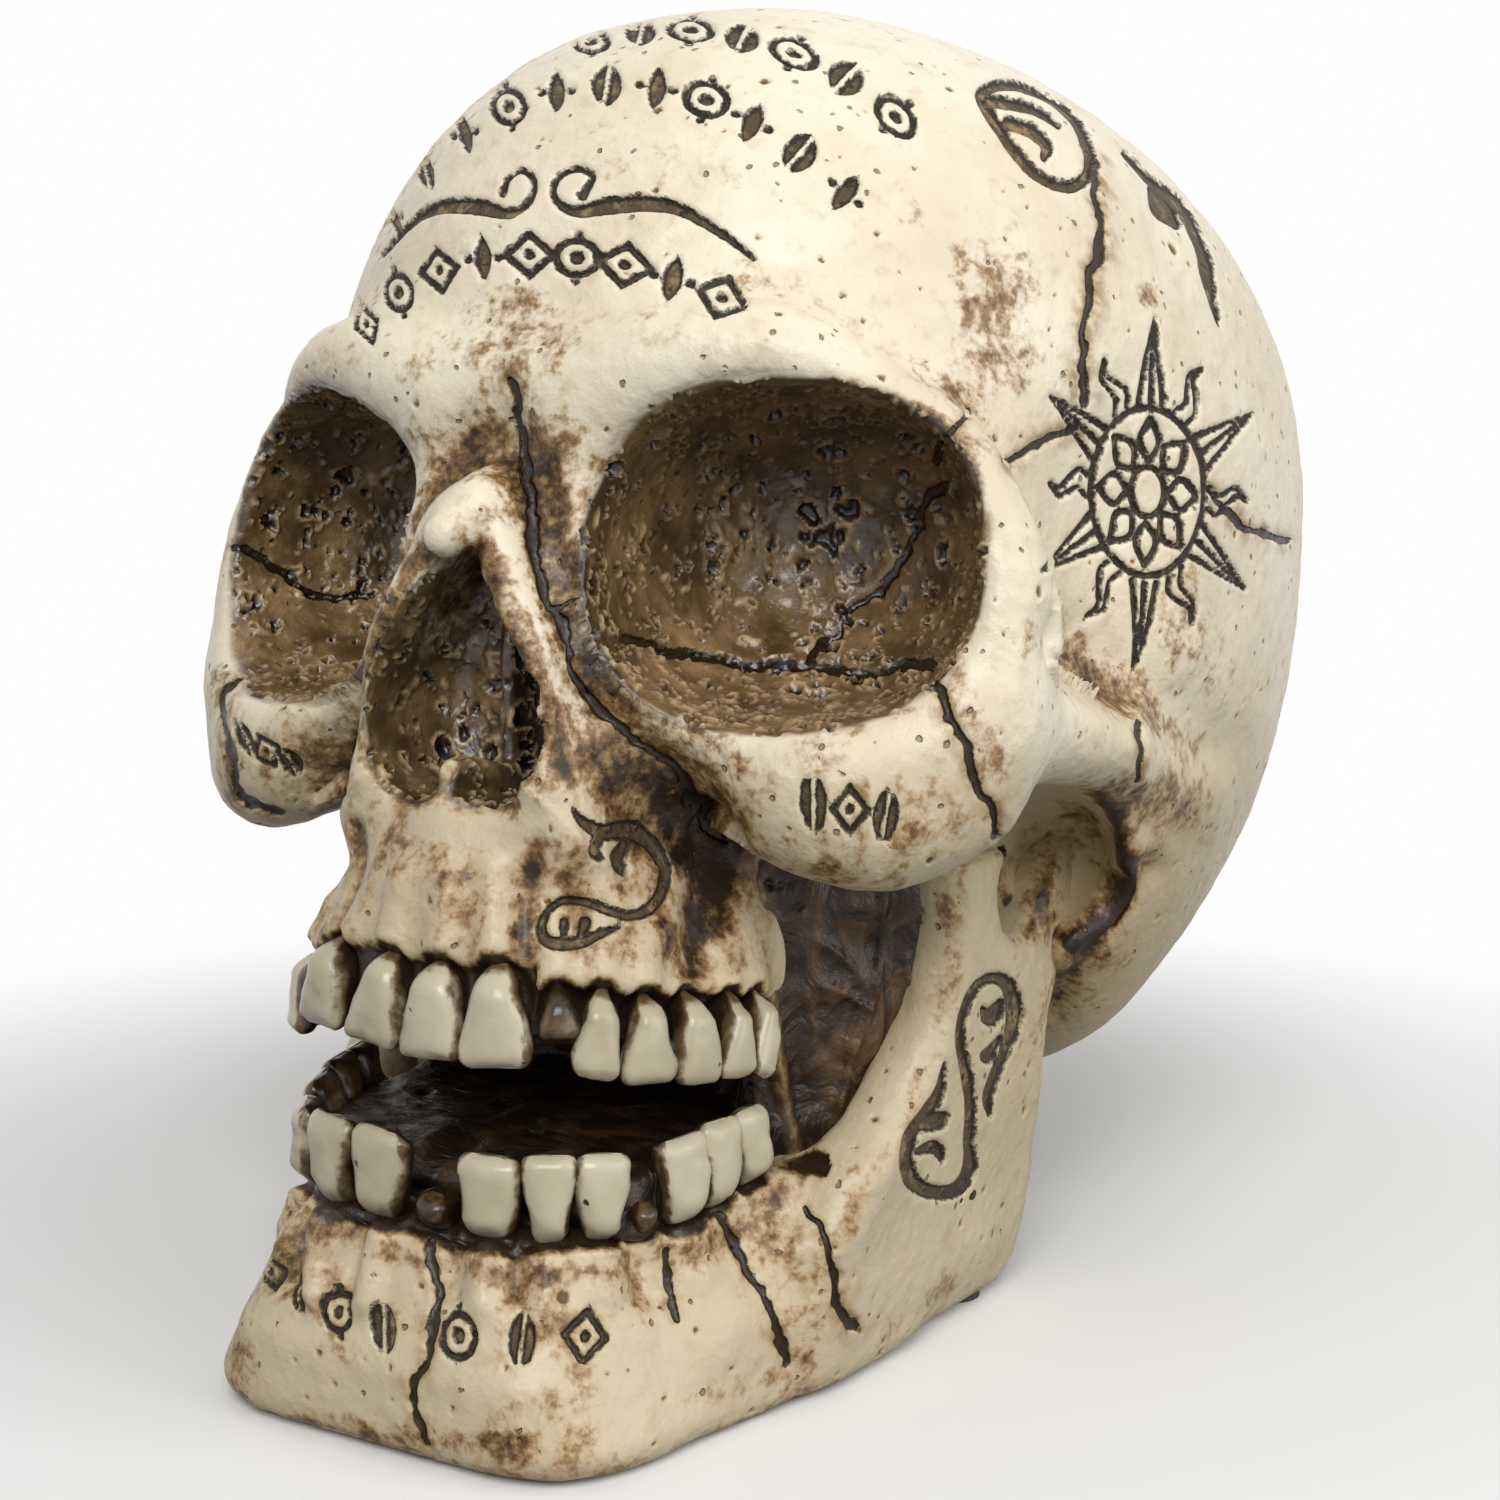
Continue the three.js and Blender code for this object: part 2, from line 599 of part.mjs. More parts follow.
// Outline moved outwards by a gap, all round
function grown(points, gap) {
  const turn = Math.sign(THREE.ShapeUtils.area(points.map(([x, y]) => new THREE.Vector2(x, y))));
  const normal = (a, b) => {
    const length = Math.hypot(b[0] - a[0], b[1] - a[1]);
    return [(b[1] - a[1]) * turn / length, (a[0] - b[0]) * turn / length];
  };
  return points.map((point, i) => {
    const before = normal(points[(i + points.length - 1) % points.length], point);
    const after = normal(point, points[(i + 1) % points.length]);
    const spread = 1 + before[0] * after[0] + before[1] * after[1];
    return point.map((v, axis) => v + gap * (before[axis] + after[axis]) / spread);
  });
}

// Lining of the mouth, and with a gap the room that the castings leave for it
function liningSolid(gap) {
  const layer = (shares, bottom, top) => {
    const outline = mirrored(shares.map(([x, y]) => [across(x), along(y)]));
    return solidOf(plate(grown(outline, gap), bottom - gap, top + gap));
  };
  const throat = layer(throatShares, liningBottom, upperJawUnderside);
  const webs = layer(cheekWebShares, upperJawUnderside - overrun, liningTop);
  return throat.add(webs).add(layer(mouthFloorShares, mouthFloorTop - mouthFloorThickness, mouthFloorTop));
}

// Point and outward direction at a distance along a tooth arch
function archPoint(distance, front, arch, depth) {
  const steps = 400;
  let walked = 0;
  let last = [0, -front];
  let heading = [0, -1];
  for (let i = 1; i <= steps && walked < Math.abs(distance); i += 1) {
    const turn = Math.PI / 2 * i / steps;
    const shares = [Math.sin(turn) ** (2 / archPower), 1 - Math.cos(turn) ** (2 / archPower)];
    const next = [arch * shares[0], depth * shares[1] - front];
    const run = [next[0] - last[0], next[1] - last[1]];
    const length = Math.hypot(...run);
    walked += length;
    heading = [run[1] / length, -run[0] / length];
    last = next;
  }
  const sign = Math.sign(distance);
  return { x: last[0] * sign, y: last[1], heading: [heading[0] * sign, heading[1]] };
}

// Crown and root of one tooth, grown by a gap for its socket
function toothGeometry(width, height, isUpper, gap) {
  const tall = height + rootLength;
  const profile = crownProfileShares.map(([out, rise]) => new THREE.Vector2(out, rise));
  const geometry = new THREE.LatheGeometry(profile, toothSideCount);
  geometry.scale(width / 2 + gap, tall + gap * 2, toothDepth / 2 + gap);
  geometry.translate(0, -gap, 0).rotateX(Math.PI / 2);
  if (!isUpper) geometry.rotateY(Math.PI);
  return geometry;
}

function teeth(rows, isUpper) {
  const list = [];
  const arch = isUpper
    ? [upperArchFront, upperArchHalfWidth, upperArchDepth]
    : [lowerArchFront, lowerArchHalfWidth, lowerArchDepth];
  const tip = isUpper ? upperTipHeight : lowerTipHeight;
  const crown = isUpper ? upperCrown : lowerCrown;
  for (const side of [1, -1]) {
    rows.forEach(([place, width, full], n) => {
      const { x, y, heading } = archPoint(side * place * arch[1], ...arch);
      const name = `${isUpper ? 'upper' : 'lower'}_tooth_${side > 0 ? 'left' : 'right'}_${n + 1}`;
      const height = full * (brokenTeeth[name] ?? 1);
      const short = crown * (1 - height);
      const end = isUpper ? tip + short : tip - short;
      const turn = Math.atan2(heading[0], -heading[1]);
      const middle = [x - heading[0] * toothSetBack, y - heading[1] * toothSetBack];
      const shape = (gap) => {
        const geometry = toothGeometry(width * crownWidth, height * crown, isUpper, gap);
        return geometry.rotateZ(turn).translate(...middle, end);
      };
      list.push({ name, shape });
    });
  }
  return list;
}

const upperTeeth = teeth(upperToothShares, true);
const lowerTeeth = teeth(lowerToothShares, false);

// Grid planes: even steps, which grow past the fine part, in x mirrored about the middle
function planes(start, end, step, fineEnd) {
  const list = [start];
  let size = step;
  while (list[list.length - 1] < end) {
    list.push(list[list.length - 1] + size);
    if (list[list.length - 1] > fineEnd) size = Math.min(size * gridGrowth, coarseStep);
  }
  return list;
}
const mirroredPlanes = (step) => {
  const right = planes(step / 2, halfWidth + step, step, skullWidth);
  return [...right.map((v) => -v).reverse(), ...right];
};
const front = (step) => -chinFront - step;
const back = skullLength - chinFront + coarseStep;
const top = skullHeight + coarseStep;

// Room of the lower jaw under the upper casting: an outline seen from the side, run across
const partingShare = 0.5; // the jaw branches lie outside this share of the half width
function jawRoom(gap, left, right) {
  const low = -overrun;
  const top = partingHeight + gap;
  const lineAt = (z) => baseStart + (baseFrontHeight - z) / baseSlopeShare + gap * baseTilt;
  const outline = [[-skullLength, low], [lineAt(low), low], [lineAt(top), top], [-skullLength, top]];
  const shape = new THREE.Shape(outline.map(([y, z]) => new THREE.Vector2(y, z)));
  const geometry = new THREE.ExtrudeGeometry(shape, { depth: right - left, bevelEnabled: false });
  return solidOf(geometry.rotateX(Math.PI / 2).rotateZ(Math.PI / 2).translate(left, 0, 0));
}

const room = liningSolid(glueGap);
const craniumGrid = [
  mirroredPlanes(gridStep), planes(front(gridStep), back, gridStep, fineBack),
  planes(baseHeight - gridStep, top, gridStep, fineTop),
];
let cranium = skin(upperField, craniumGrid);
const plugTop = baseHeight + plugThickness;
const hollowGrid = [
  mirroredPlanes(hollowStep), planes(front(hollowStep), back, hollowStep, back),
  planes(0, top, hollowStep, top),
];
cranium = cranium.subtract(skin(hollowField, hollowGrid));
cranium = cranium.subtract(solidOf(disc(holeDiameter / 2, 0, eggRise, 0, holePlace)));
const flangeRadius = holeDiameter / 2 + plugFlange;
cranium = cranium.subtract(solidOf(disc(flangeRadius, 0, plugTop, 0, holePlace)));
const branchInner = across(partingShare) - glueGap;
cranium = cranium.subtract(room);
cranium = cranium.subtract(jawRoom(glueGap, branchInner, skullWidth));
cranium = cranium.subtract(jawRoom(glueGap, -skullWidth, -branchInner));
const septum = box([-septumWidth / 2, noseFloor - septumLength / 2, up(septumShare) - septumHeight / 2],
  [septumWidth / 2, noseFloor + septumLength / 2, up(septumShare) + septumHeight / 2]);
cranium = cranium.add(solidOf(septum));
for (const tooth of upperTeeth) cranium = cranium.subtract(solidOf(tooth.shape(glueGap)));

const ramusBack = Math.max(...ramusShares.map((row) => along(row[3])));
const [jawGridBack, jawGridTop] = [ramusBack + jawGridStep, ramusTop + jawGridStep];
const jawGrid = [
  mirroredPlanes(jawGridStep), planes(front(jawGridStep), jawGridBack, jawGridStep, jawGridBack),
  planes(-jawGridStep / 2, jawGridTop, jawGridStep, jawGridTop),
];
let mandible = skin(jawField, jawGrid);
mandible = mandible.subtract(room).intersect(jawRoom(0, -skullWidth, skullWidth));
const pads = padPlaceShares.flatMap(([x, y]) => [1, -1].map((side) => [across(x) * side, along(y)]));
const padRecess = padThickness + glueGap;
for (const [x, y] of pads) {
  mandible = mandible.subtract(solidOf(disc(padDiameter / 2 + glueGap, 0, padRecess, x, y)));
}
for (const tooth of lowerTeeth) mandible = mandible.subtract(solidOf(tooth.shape(glueGap)));

let plug = solidOf(disc(flangeRadius - glueGap, baseHeight, plugTop - glueGap, 0, holePlace));
plug = plug.add(solidOf(disc(holeDiameter / 2 - glueGap, baseHeight, plugTop + plugDepth, 0, holePlace)));

const skull = new THREE.Group();
function add(name, geometry, material) {
  const mesh = new THREE.Mesh(geometry, material);
  mesh.name = name;
  skull.add(mesh);
}
add('cranium', geometryOf(cranium), boneMaterial);
add('mandible', geometryOf(mandible), boneMaterial);
add('mouth_lining', geometryOf(liningSolid(0)), liningMaterial);
for (const tooth of [...upperTeeth, ...lowerTeeth]) {
  add(tooth.name, geometryOf(solidOf(tooth.shape(0))), toothMaterial);
}
add('base_plug', geometryOf(plug), plugMaterial);
pads.forEach(([x, y], n) => {
  add(`felt_pad_${n + 1}`, disc(padDiameter / 2, 0, padThickness, x, y), feltMaterial);
});

// The origin is on the table under the middle of the whole
const middle = new THREE.Box3().setFromObject(skull).getCenter(new THREE.Vector3());
for (const mesh of skull.children) mesh.geometry.translate(-middle.x, -middle.y, 0);

export default skull;
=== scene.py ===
from functools import partial
import math

import bpy
import numpy as np
from mathutils import Matrix, Vector


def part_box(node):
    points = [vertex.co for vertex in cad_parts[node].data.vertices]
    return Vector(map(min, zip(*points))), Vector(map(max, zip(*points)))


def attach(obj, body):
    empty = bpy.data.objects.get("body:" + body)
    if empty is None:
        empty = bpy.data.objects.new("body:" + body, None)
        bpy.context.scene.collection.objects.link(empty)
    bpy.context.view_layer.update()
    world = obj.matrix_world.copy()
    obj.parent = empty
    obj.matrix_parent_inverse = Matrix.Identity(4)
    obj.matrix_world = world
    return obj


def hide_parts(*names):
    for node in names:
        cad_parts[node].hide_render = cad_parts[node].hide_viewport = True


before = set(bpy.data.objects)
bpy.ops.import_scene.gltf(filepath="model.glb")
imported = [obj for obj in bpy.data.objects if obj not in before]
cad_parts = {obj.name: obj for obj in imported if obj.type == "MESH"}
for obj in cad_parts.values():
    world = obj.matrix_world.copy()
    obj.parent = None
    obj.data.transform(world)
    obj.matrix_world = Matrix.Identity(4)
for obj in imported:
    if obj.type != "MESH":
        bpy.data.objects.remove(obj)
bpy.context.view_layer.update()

# Shapes are worked out in millimetres: x across, positive on the side near the camera,
# the face toward -y, z up from the table.
single = np.float32
toMetres = 0.001
nearZero = single(1e-6)

photo = {
    "pixels": 1500, "focal": 2222.8, "turn": 30.0, "dip": 7.18, "place": (158.97, -225.01, 112.27),
    "sensor": 36.0, "patch": 5, "behind": 4, "least": 0.03, "fade": (0.05, 0.34),
}
plug = {"node": "base_plug", "depth": 94.0}
mesh = {"cranium": 0.95, "jaw": 0.85, "lining": 0.8, "quick": 1.9, "block": 16, "batch": 300}
boxes = {
    "cranium": ((-68, -32, 18), (68, 150, 178)), "jaw": ((-52, -42, -3), (52, 74, 67)),
    "lining": ((-46, -26, 12), (46, 42, 76)),
}

plugLow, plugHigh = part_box(plug["node"])
shiftY = plug["depth"] - (plugLow.y + plugHigh.y) / 2 / toMetres


def inRow(points):
    moved = np.array(points, float)
    moved[..., 1] -= shiftY
    return moved * toMetres


# Plain shapes as signed distances.
def length(*parts):
    return np.sqrt(sum(part * part for part in parts))


def joined(a, b, blend):
    h = np.maximum(blend - np.abs(a - b), 0) / blend
    return np.minimum(a, b) - h * h * single(blend / 4)


def common(a, b, blend):
    return -joined(-a, -b, blend)


def cut(a, b, blend):
    return common(a, -b, blend)


def ellipsoid(x, y, z, centre, radii):
    px, py, pz = (x - centre[0]) / radii[0], (y - centre[1]) / radii[1], (z - centre[2]) / radii[2]
    k = length(px, py, pz)
    return k * (k - 1) / (length(px / radii[0], py / radii[1], pz / radii[2]) + nearZero)


def cone(x, y, z, start, end):
    dx, dy, dz = end[0] - start[0], end[1] - start[1], end[2] - start[2]
    px, py, pz = x - start[0], y - start[1], z - start[2]
    t = np.clip((px * dx + py * dy + pz * dz) / (dx * dx + dy * dy + dz * dz), 0, 1)
    return length(px - dx * t, py - dy * t, pz - dz * t) - (start[3] + (end[3] - start[3]) * t)


def block(x, y, z, centre, half, rounding):
    qx = np.abs(x - centre[0]) - half[0] + rounding
    qy = np.abs(y - centre[1]) - half[1] + rounding
    qz = np.abs(z - centre[2]) - half[2] + rounding
    outside = length(np.maximum(qx, 0), np.maximum(qy, 0), np.maximum(qz, 0))
    return outside + np.minimum(np.maximum(np.maximum(qx, qy), qz), 0) - rounding


def smoothChain(points, steps=3):
    given = np.array(points, float)
    ends = np.vstack([2 * given[0] - given[1], given, 2 * given[-1] - given[-2]])
    out = [given[0]]
    for i in range(len(given) - 1):
        a, b, c, d = ends[i:i + 4]
        for t in np.arange(1, steps + 1) / steps:
            bend, twist = 2 * a - 5 * b + 4 * c - d, 3 * b - a - 3 * c + d
            out.append(0.5 * (2 * b + (c - a) * t + bend * t * t + twist * t ** 3))
    return [tuple(single(v) for v in point) for point in out]


def limb(x, y, z, points, steps=3):
    smooth = smoothChain(points, steps)
    distance = cone(x, y, z, smooth[0], smooth[1])
    for start, end in zip(smooth[1:], smooth[2:]):
        distance = np.minimum(distance, cone(x, y, z, start, end))
    return distance


def stepped(value, low, high):
    t = np.clip((value - low) / (high - low), 0, 1)
    return t * t * (3 - 2 * t)


def table(value, places, amounts):
    return np.interp(value, places, amounts).astype(single)


def powerRound(px, py, pz, size, power):
    k = (np.abs(px) ** power + np.abs(py) ** power + np.abs(pz) ** power) ** (1 / power) + nearZero
    return size * (1 - 1 / k)


# The skull.
vault = {
    "centre": (52, 102.4), "wide": 64.1, "front": 61, "back": 92.4, "top": 71.9, "low": 91, "power": 2.25,
    "taper": 0.0029,
    "ridge": [(40, 72, 46, 9), (30, 92, 36, 9), (10, 106, 33, 9)],
    "temple": ((67, 32, 102), (12.5, 17, 25)), "dent": ((66, 18, 136), (11, 14, 17)),
}
face = {
    "nearWall": [
        (3.4, -14, 107, 3.0), (8.3, -16.2, 97, 3.7), (11.7, -15.8, 88, 4.4), (13.3, -15, 80, 5.2),
        (12.6, -14, 72, 7),
    ],
    "farWall": [(8, -6, 108, 6), (15, -7, 96, 6), (19, -6, 84, 7)],
    "bridge": [(0, -1, 120, 8.6), (0, -4.8, 113, 4.8), (0, -12.4, 109, 3.0), (0, -18.6, 105.0, 1.4)],
    "fossa": ((25, -18, 73), (6.5, 9, 11)),
    "brow": [
        (8, -4.5, 119, 6), (20, -3.5, 124, 5.5), (32, 0, 125.5, 5), (40.5, 5, 119.6, 5),
        (48.4, 10, 113.6, 5.8), (52.8, 11.4, 105, 6.6), (54.8, 11.8, 96, 7.8), (53.6, 10.4, 87, 8.8),
    ],
    "cheek": [(17, -5, 82, 6), (29, -4.6, 80, 7), (39.5, -1.3, 78, 8.6), (48.3, 5.3, 79.5, 9)],
    "cheekLow": [(30, -2, 77, 5.8), (38.5, -2.8, 73.5, 7), (46.4, 0.4, 71.5, 7), (51.5, 9, 75, 7.5)],
    "arch": [
        (51, 10, 82, 9), (54, 22, 82, 7.6), (57.3, 36, 79, 5.9), (58.3, 50, 75.8, 5), (57, 66, 71.5, 5.8),
        (52, 80, 64, 6),
    ],
    "pocket": [(51, 34, 67, 6), (50, 42, 63.5, 8), (49, 51, 58, 7.5)],
}
socket = {
    "centre": (34.1, -0.8, 102.4), "turn": (0.972, 0.236), "half": (22.3, 29, 19.4), "power": 2.35,
    "set": 1,
}
nose = {
    "outline": [(0, 100.3, 0, 2.3), (2.7, 94, 0, 5), (4.4, 85, 0, 8), (5, 81, 0, 7.3)], "back": -3,
    "spine": ((0, -19.8, 77.6, 1.3), (0, -12, 75.4, 2.4)),
}
maxilla = {
    "middle": 13.5, "wide": 28.5, "narrows": 0.3, "reach": 38, "leans": 0.36, "back": 22, "power": 2.4,
    "level": 63, "half": 17.5,
    "blocks": [((0, 14, 90), (21, 19, 26), 8), ((28, 17, 77.5), (18, 15, 10.5), 8)],
    "ridge": ((0, -17, 74, 4), (0, -20, 64, 5)), "septum": ((0, -2.4, 88), (1.1, 6.5, 14), 1),
}
webs = {"x": (25, 43), "y": (7, 38), "z": (16, 72), "slope": 0.9}
mouthFloor = {"half": 24.5, "level": 28, "thick": 4, "y": (-24, 26), "widens": 0.12}
jawShape = {
    "sidePlaces": [-28, -17, -5.6, 6.3, 18, 31, 48], "sides": [29.8, 32.1, 34.8, 37.4, 39.3, 41.4, 43.4],
    "rib": [(26, -8, 10.5, 8), (30.5, 14, 10.5, 7.6), (34.5, 38, 10.5, 7)],
    "plateHeights": [0, 10, 28, 45, 62], "plateMiddles": [36, 38.3, 40.6, 41.6, 41.6],
    "frontHeights": [0, 10, 20, 28, 36, 44, 52, 72], "fronts": [4, 0, -1, 5, 14, 20, 22, 22],
    "backHeights": [0, 6, 15, 30, 38, 50, 58, 68], "backs": [50, 53, 53.5, 53.5, 54, 58, 66, 76],
    "top": 73, "seam": 64, "plateHalf": 5, "notch": ((42, 58, 0, 6.5), (50, 72, 0, 10)),
}


def vaultField(x, y, z):
    middleY, middleZ = vault["centre"]
    px = x / (vault["wide"] * (1 + vault["taper"] * (y - middleY)))
    py = (y - middleY) / np.where(y < middleY, single(vault["front"]), single(vault["back"]))
    pz = (z - middleZ) / np.where(z < middleZ, single(vault["low"]), single(vault["top"]))
    d = powerRound(px, py, pz, length(x, y - middleY, z - middleZ), vault["power"])
    base = np.maximum(24 - z, (56 - z - (y - 44) * single(1.2)) * single(0.64))
    d = common(d, base, 9)
    d = joined(d, limb(x, y, z, vault["ridge"]), 7)
    d = cut(d, ellipsoid(x, y, z, *vault["temple"]), 10)
    return cut(d, ellipsoid(x, y, z, *vault["dent"]), 12)


def upperJawField(x, y, z):
    back, level = y - single(maxilla["middle"]), maxilla["level"]
    wide = maxilla["wide"] - np.clip(z - 55, 0, 27) * single(maxilla["narrows"])
    reach = maxilla["reach"] + (level - np.clip(z, 44, 82)) * single(maxilla["leans"])
    deep = np.where(back < 0, reach, single(maxilla["back"]))
    d = powerRound(x / wide, back / deep, 0 * z, length(x, back), maxilla["power"])
    d = common(d, np.abs(z - level) - maxilla["half"], 6)
    d = joined(d, block(x, y, z, *maxilla["blocks"][0]), 6)
    d = joined(d, block(x, y, z, *maxilla["blocks"][1]), 6)
    d = cut(d, ellipsoid(x, y, z, *face["fossa"]), 8)
    d = joined(d, limb(x, y, z, face["nearWall"]), 6)
    d = joined(d, limb(x, y, z, face["farWall"]), 6)
    d = joined(d, limb(x, y, z, face["bridge"]), 3.5)
    return joined(d, cone(x, y, z, *maxilla["ridge"]), 6)


def socketField(x, y, z):
    cx, cy, cz = socket["centre"]
    ux, uy = socket["turn"]
    across = (x - cx) * ux + (y - cy) * uy
    inward = (y - cy) * ux - (x - cx) * uy - socket["set"]
    rise = z - cz
    half, size = socket["half"], length(across, inward, rise)
    return powerRound(across / half[0], inward / half[1], rise / half[2], size, socket["power"])


def noseField(x, y, z):
    return common(limb(x, z, 0 * z, nose["outline"]), y - nose["back"], 6)


def uncutField(x, y, z):
    x = np.abs(x)
    d = joined(vaultField(x, y, z), upperJawField(x, y, z), 7)
    d = joined(d, limb(x, y, z, face["brow"]), 8)
    cheek = joined(limb(x, y, z, face["cheek"]), limb(x, y, z, face["cheekLow"]), 7)
    d = joined(d, cheek, 7)
    d = joined(d, limb(x, y, z, face["arch"]), 5)
    d = joined(d, common(branchField(x, y, z), jawShape["seam"] - z, 0.5), 4)
    return cut(d, limb(x, y, z, face["pocket"]), 5)


def craniumField(x, y, z):
    d = withRoots(uncutField(x, y, z), x, y, z, upperTeeth)
    x = np.abs(x)
    d = cut(d, socketField(x, y, z), 3)
    d = cut(d, noseField(x, y, z), 1.6)
    d = joined(d, cone(x, y, z, *nose["spine"]), 3)
    return joined(d, block(x, y, z, *maxilla["septum"]), 2)


# Swellings over the roots, from deep inside up to each tooth's neck.
roots = {
    "y": 26, "z": (4, 76), "near": 9, "deep": 5.2, "thin": 2.0, "up": 0.4, "set": 2.9, "thick": 2.7,
    "blend": 2.6,
}


def withRoots(d, x, y, z, teeth):
    near = (y < roots["y"]) & (z > roots["z"][0]) & (z < roots["z"][1]) & (np.abs(d) < roots["near"])
    if not near.any():
        return d
    d, (x, y, z) = d.copy(), (part[near] for part in (x, y, z))
    bone = d[near]
    for tooth in teeth:
        start = tooth["neck"] - tooth["axis"] * tooth["root"] - tooth["outward"] * roots["deep"]
        end = tooth["neck"] - tooth["axis"] * roots["up"] - tooth["outward"] * roots["set"]
        bone = joined(bone, cone(x, y, z, (*start, roots["thin"]), (*end, roots["thick"])), roots["blend"])
    d[near] = bone
    return d


def jawField(x, y, z):
    return withRoots(jawBoneField(np.abs(x), y, z), x, y, z, lowerTeeth)


def jawBoneField(x, y, z):
    draft = np.maximum(z - 4, 0) * table(y, [-25, 0, 30], [0.42, 0.26, 0])
    side = (x - table(y, jawShape["sidePlaces"], jawShape["sides"]) + draft) * single(0.93)
    front = -y - 36.6 + np.maximum(z - 11, 0) * single(0.36) + np.maximum(4 - z, 0) * single(0.1)
    d = common(side, front, 15)
    d = common(d, y - 24, 6)
    d = common(d, z - 27.5, 3)
    d = joined(d, limb(x, y, z, jawShape["rib"]), 4)
    branch = common(branchField(x, y, z), z - jawShape["seam"], 0.5)
    return common(joined(d, branch, 6), -z, 4)


def branchField(x, y, z):
    middle = table(z, jawShape["plateHeights"], jawShape["plateMiddles"])
    middle = middle - (45 - y) * single(0.12) * np.clip(1 - z / 60, 0, 1)
    front = table(z, jawShape["frontHeights"], jawShape["fronts"])
    back = table(z, jawShape["backHeights"], jawShape["backs"])
    edge = common((front - y) * single(0.85), (y - back) * single(0.95), 8)
    edge = common(edge, z - jawShape["top"], 6)
    plate = common((np.abs(x - middle) - jawShape["plateHalf"]) * single(0.97), edge, 5)
    return cut(plate, cone(y, z, 0 * z, *jawShape["notch"]), 3)


def liningField(x, y, z):
    x = np.abs(x)
    inner, front = webs["x"][0], webs["y"][0]
    slant = np.where(x < inner, front + (inner - x) * single(webs["slope"]), front + (x - inner))
    wall = common((slant - y) * single(0.7), y - webs["y"][1], 3)
    wall = common(wall, x - webs["x"][1], 3)
    wall = common(wall, np.maximum(z - webs["z"][1], webs["z"][0] - z), 3)
    side = x - mouthFloor["half"] - (y + 20) * single(mouthFloor["widens"])
    floor = common(side, np.abs(z - mouthFloor["level"]) - mouthFloor["thick"], 1)
    floor = common(floor, common(mouthFloor["y"][0] - y, y - mouthFloor["y"][1], 1), 10)
    return joined(wall, floor, 2)


# Surfaces from fields.
def surfaceOf(field, low, high, cell):
    size = mesh["block"]
    low = np.array(low, float)
    blocks = np.ceil((np.array(high, float) - low) / cell / size).astype(int) + 1
    span = size * cell
    middles = [low[i] + (np.arange(blocks[i]) + 0.5) * span for i in range(3)]
    far = field(*(m.astype(single) for m in np.meshgrid(*middles, indexing="ij")))
    active = np.argwhere(np.abs(far) < span * 1.05 + cell * 2)
    grid = np.full(tuple(blocks * size + 1), 9, single)
    steps = np.arange(size + 1)
    for start in range(0, len(active), mesh["batch"]):
        some = active[start:start + mesh["batch"]]
        axes = [low[i] + (some[:, i, None] * size + steps) * cell for i in range(3)]
        grids = axes[0][:, :, None, None], axes[1][:, None, :, None], axes[2][:, None, None, :]
        x, y, z = np.broadcast_arrays(*grids)
        values = field(x.astype(single), y.astype(single), z.astype(single))
        for place, value in zip(some * size, values):
            i, j, k = place
            grid[i:i + size + 1, j:j + size + 1, k:k + size + 1] = value
    return crossings(grid, low, cell)


def crossings(grid, low, cell):
    shape = tuple(n - 1 for n in grid.shape)
    total = np.zeros(shape + (3,), single)
    count = np.zeros(shape, np.int16)
    found = []
    for axis in range(3):
        others = [(axis + 1) % 3, (axis + 2) % 3]
        first = np.delete(grid, -1, axis)
        second = np.delete(grid, 0, axis)
        at = np.argwhere((first < 0) != (second < 0))
        inside = np.all([(at[:, o] > 0) & (at[:, o] < grid.shape[o] - 1) for o in others], 0)
        at = at[inside]
        a, b = first[tuple(at.T)], second[tuple(at.T)]
        place = at.astype(single)
        place[:, axis] += a / (a - b)
        around = []
        for back in ((1, 1), (0, 1), (0, 0), (1, 0)):
            cellAt = at.copy()
            cellAt[:, others] -= back
            np.add.at(total, tuple(cellAt.T), place)
            np.add.at(count, tuple(cellAt.T), 1)
            around.append(cellAt)
        found.append((around, a < 0))
    cells = np.argwhere(count > 0)
    number = np.full(shape, -1, np.int64)
    number[tuple(cells.T)] = np.arange(len(cells))
    points = low + total[tuple(cells.T)] / count[tuple(cells.T)][:, None] * cell
    quads = []
    for around, outward in found:
        quad = np.stack([number[tuple(c.T)] for c in around], 1)
        quad[~outward] = quad[~outward][:, ::-1]
        quads.append(quad)
    return points, np.concatenate(quads)


def meshOf(name, points, quads):
    data = bpy.data.meshes.new(name)
    data.vertices.add(len(points))
    data.vertices.foreach_set("co", np.asarray(points, single).ravel())
    data.loops.add(quads.size)
    data.loops.foreach_set("vertex_index", quads.ravel().astype(np.int32))
    data.polygons.add(len(quads))
    data.polygons.foreach_set("loop_start", (np.arange(len(quads)) * quads.shape[1]).astype(np.int32))
    data.update(calc_edges=True)
    data.validate()
    return data


def coordinates(data):
    flat = np.empty(len(data.vertices) * 3, single)
    data.vertices.foreach_get("co", flat)
    return flat.reshape(-1, 3)


def normalsOf(data):
    flat = np.empty(len(data.vertices) * 3, single)
    data.vertex_normals.foreach_get("vector", flat)
    return flat.reshape(-1, 3)


def place(data, points):
    data.vertices.foreach_set("co", np.asarray(points, single).ravel())
    data.update()


def refined(data, levels):
    holder = bpy.data.objects.new("holder", data)
    bpy.context.scene.collection.objects.link(holder)
    finer = holder.modifiers.new("finer", "SUBSURF")
    finer.levels = levels
    smooth = bpy.data.meshes.new_from_object(holder.evaluated_get(bpy.context.evaluated_depsgraph_get()))
    bpy.data.objects.remove(holder)
    return smooth


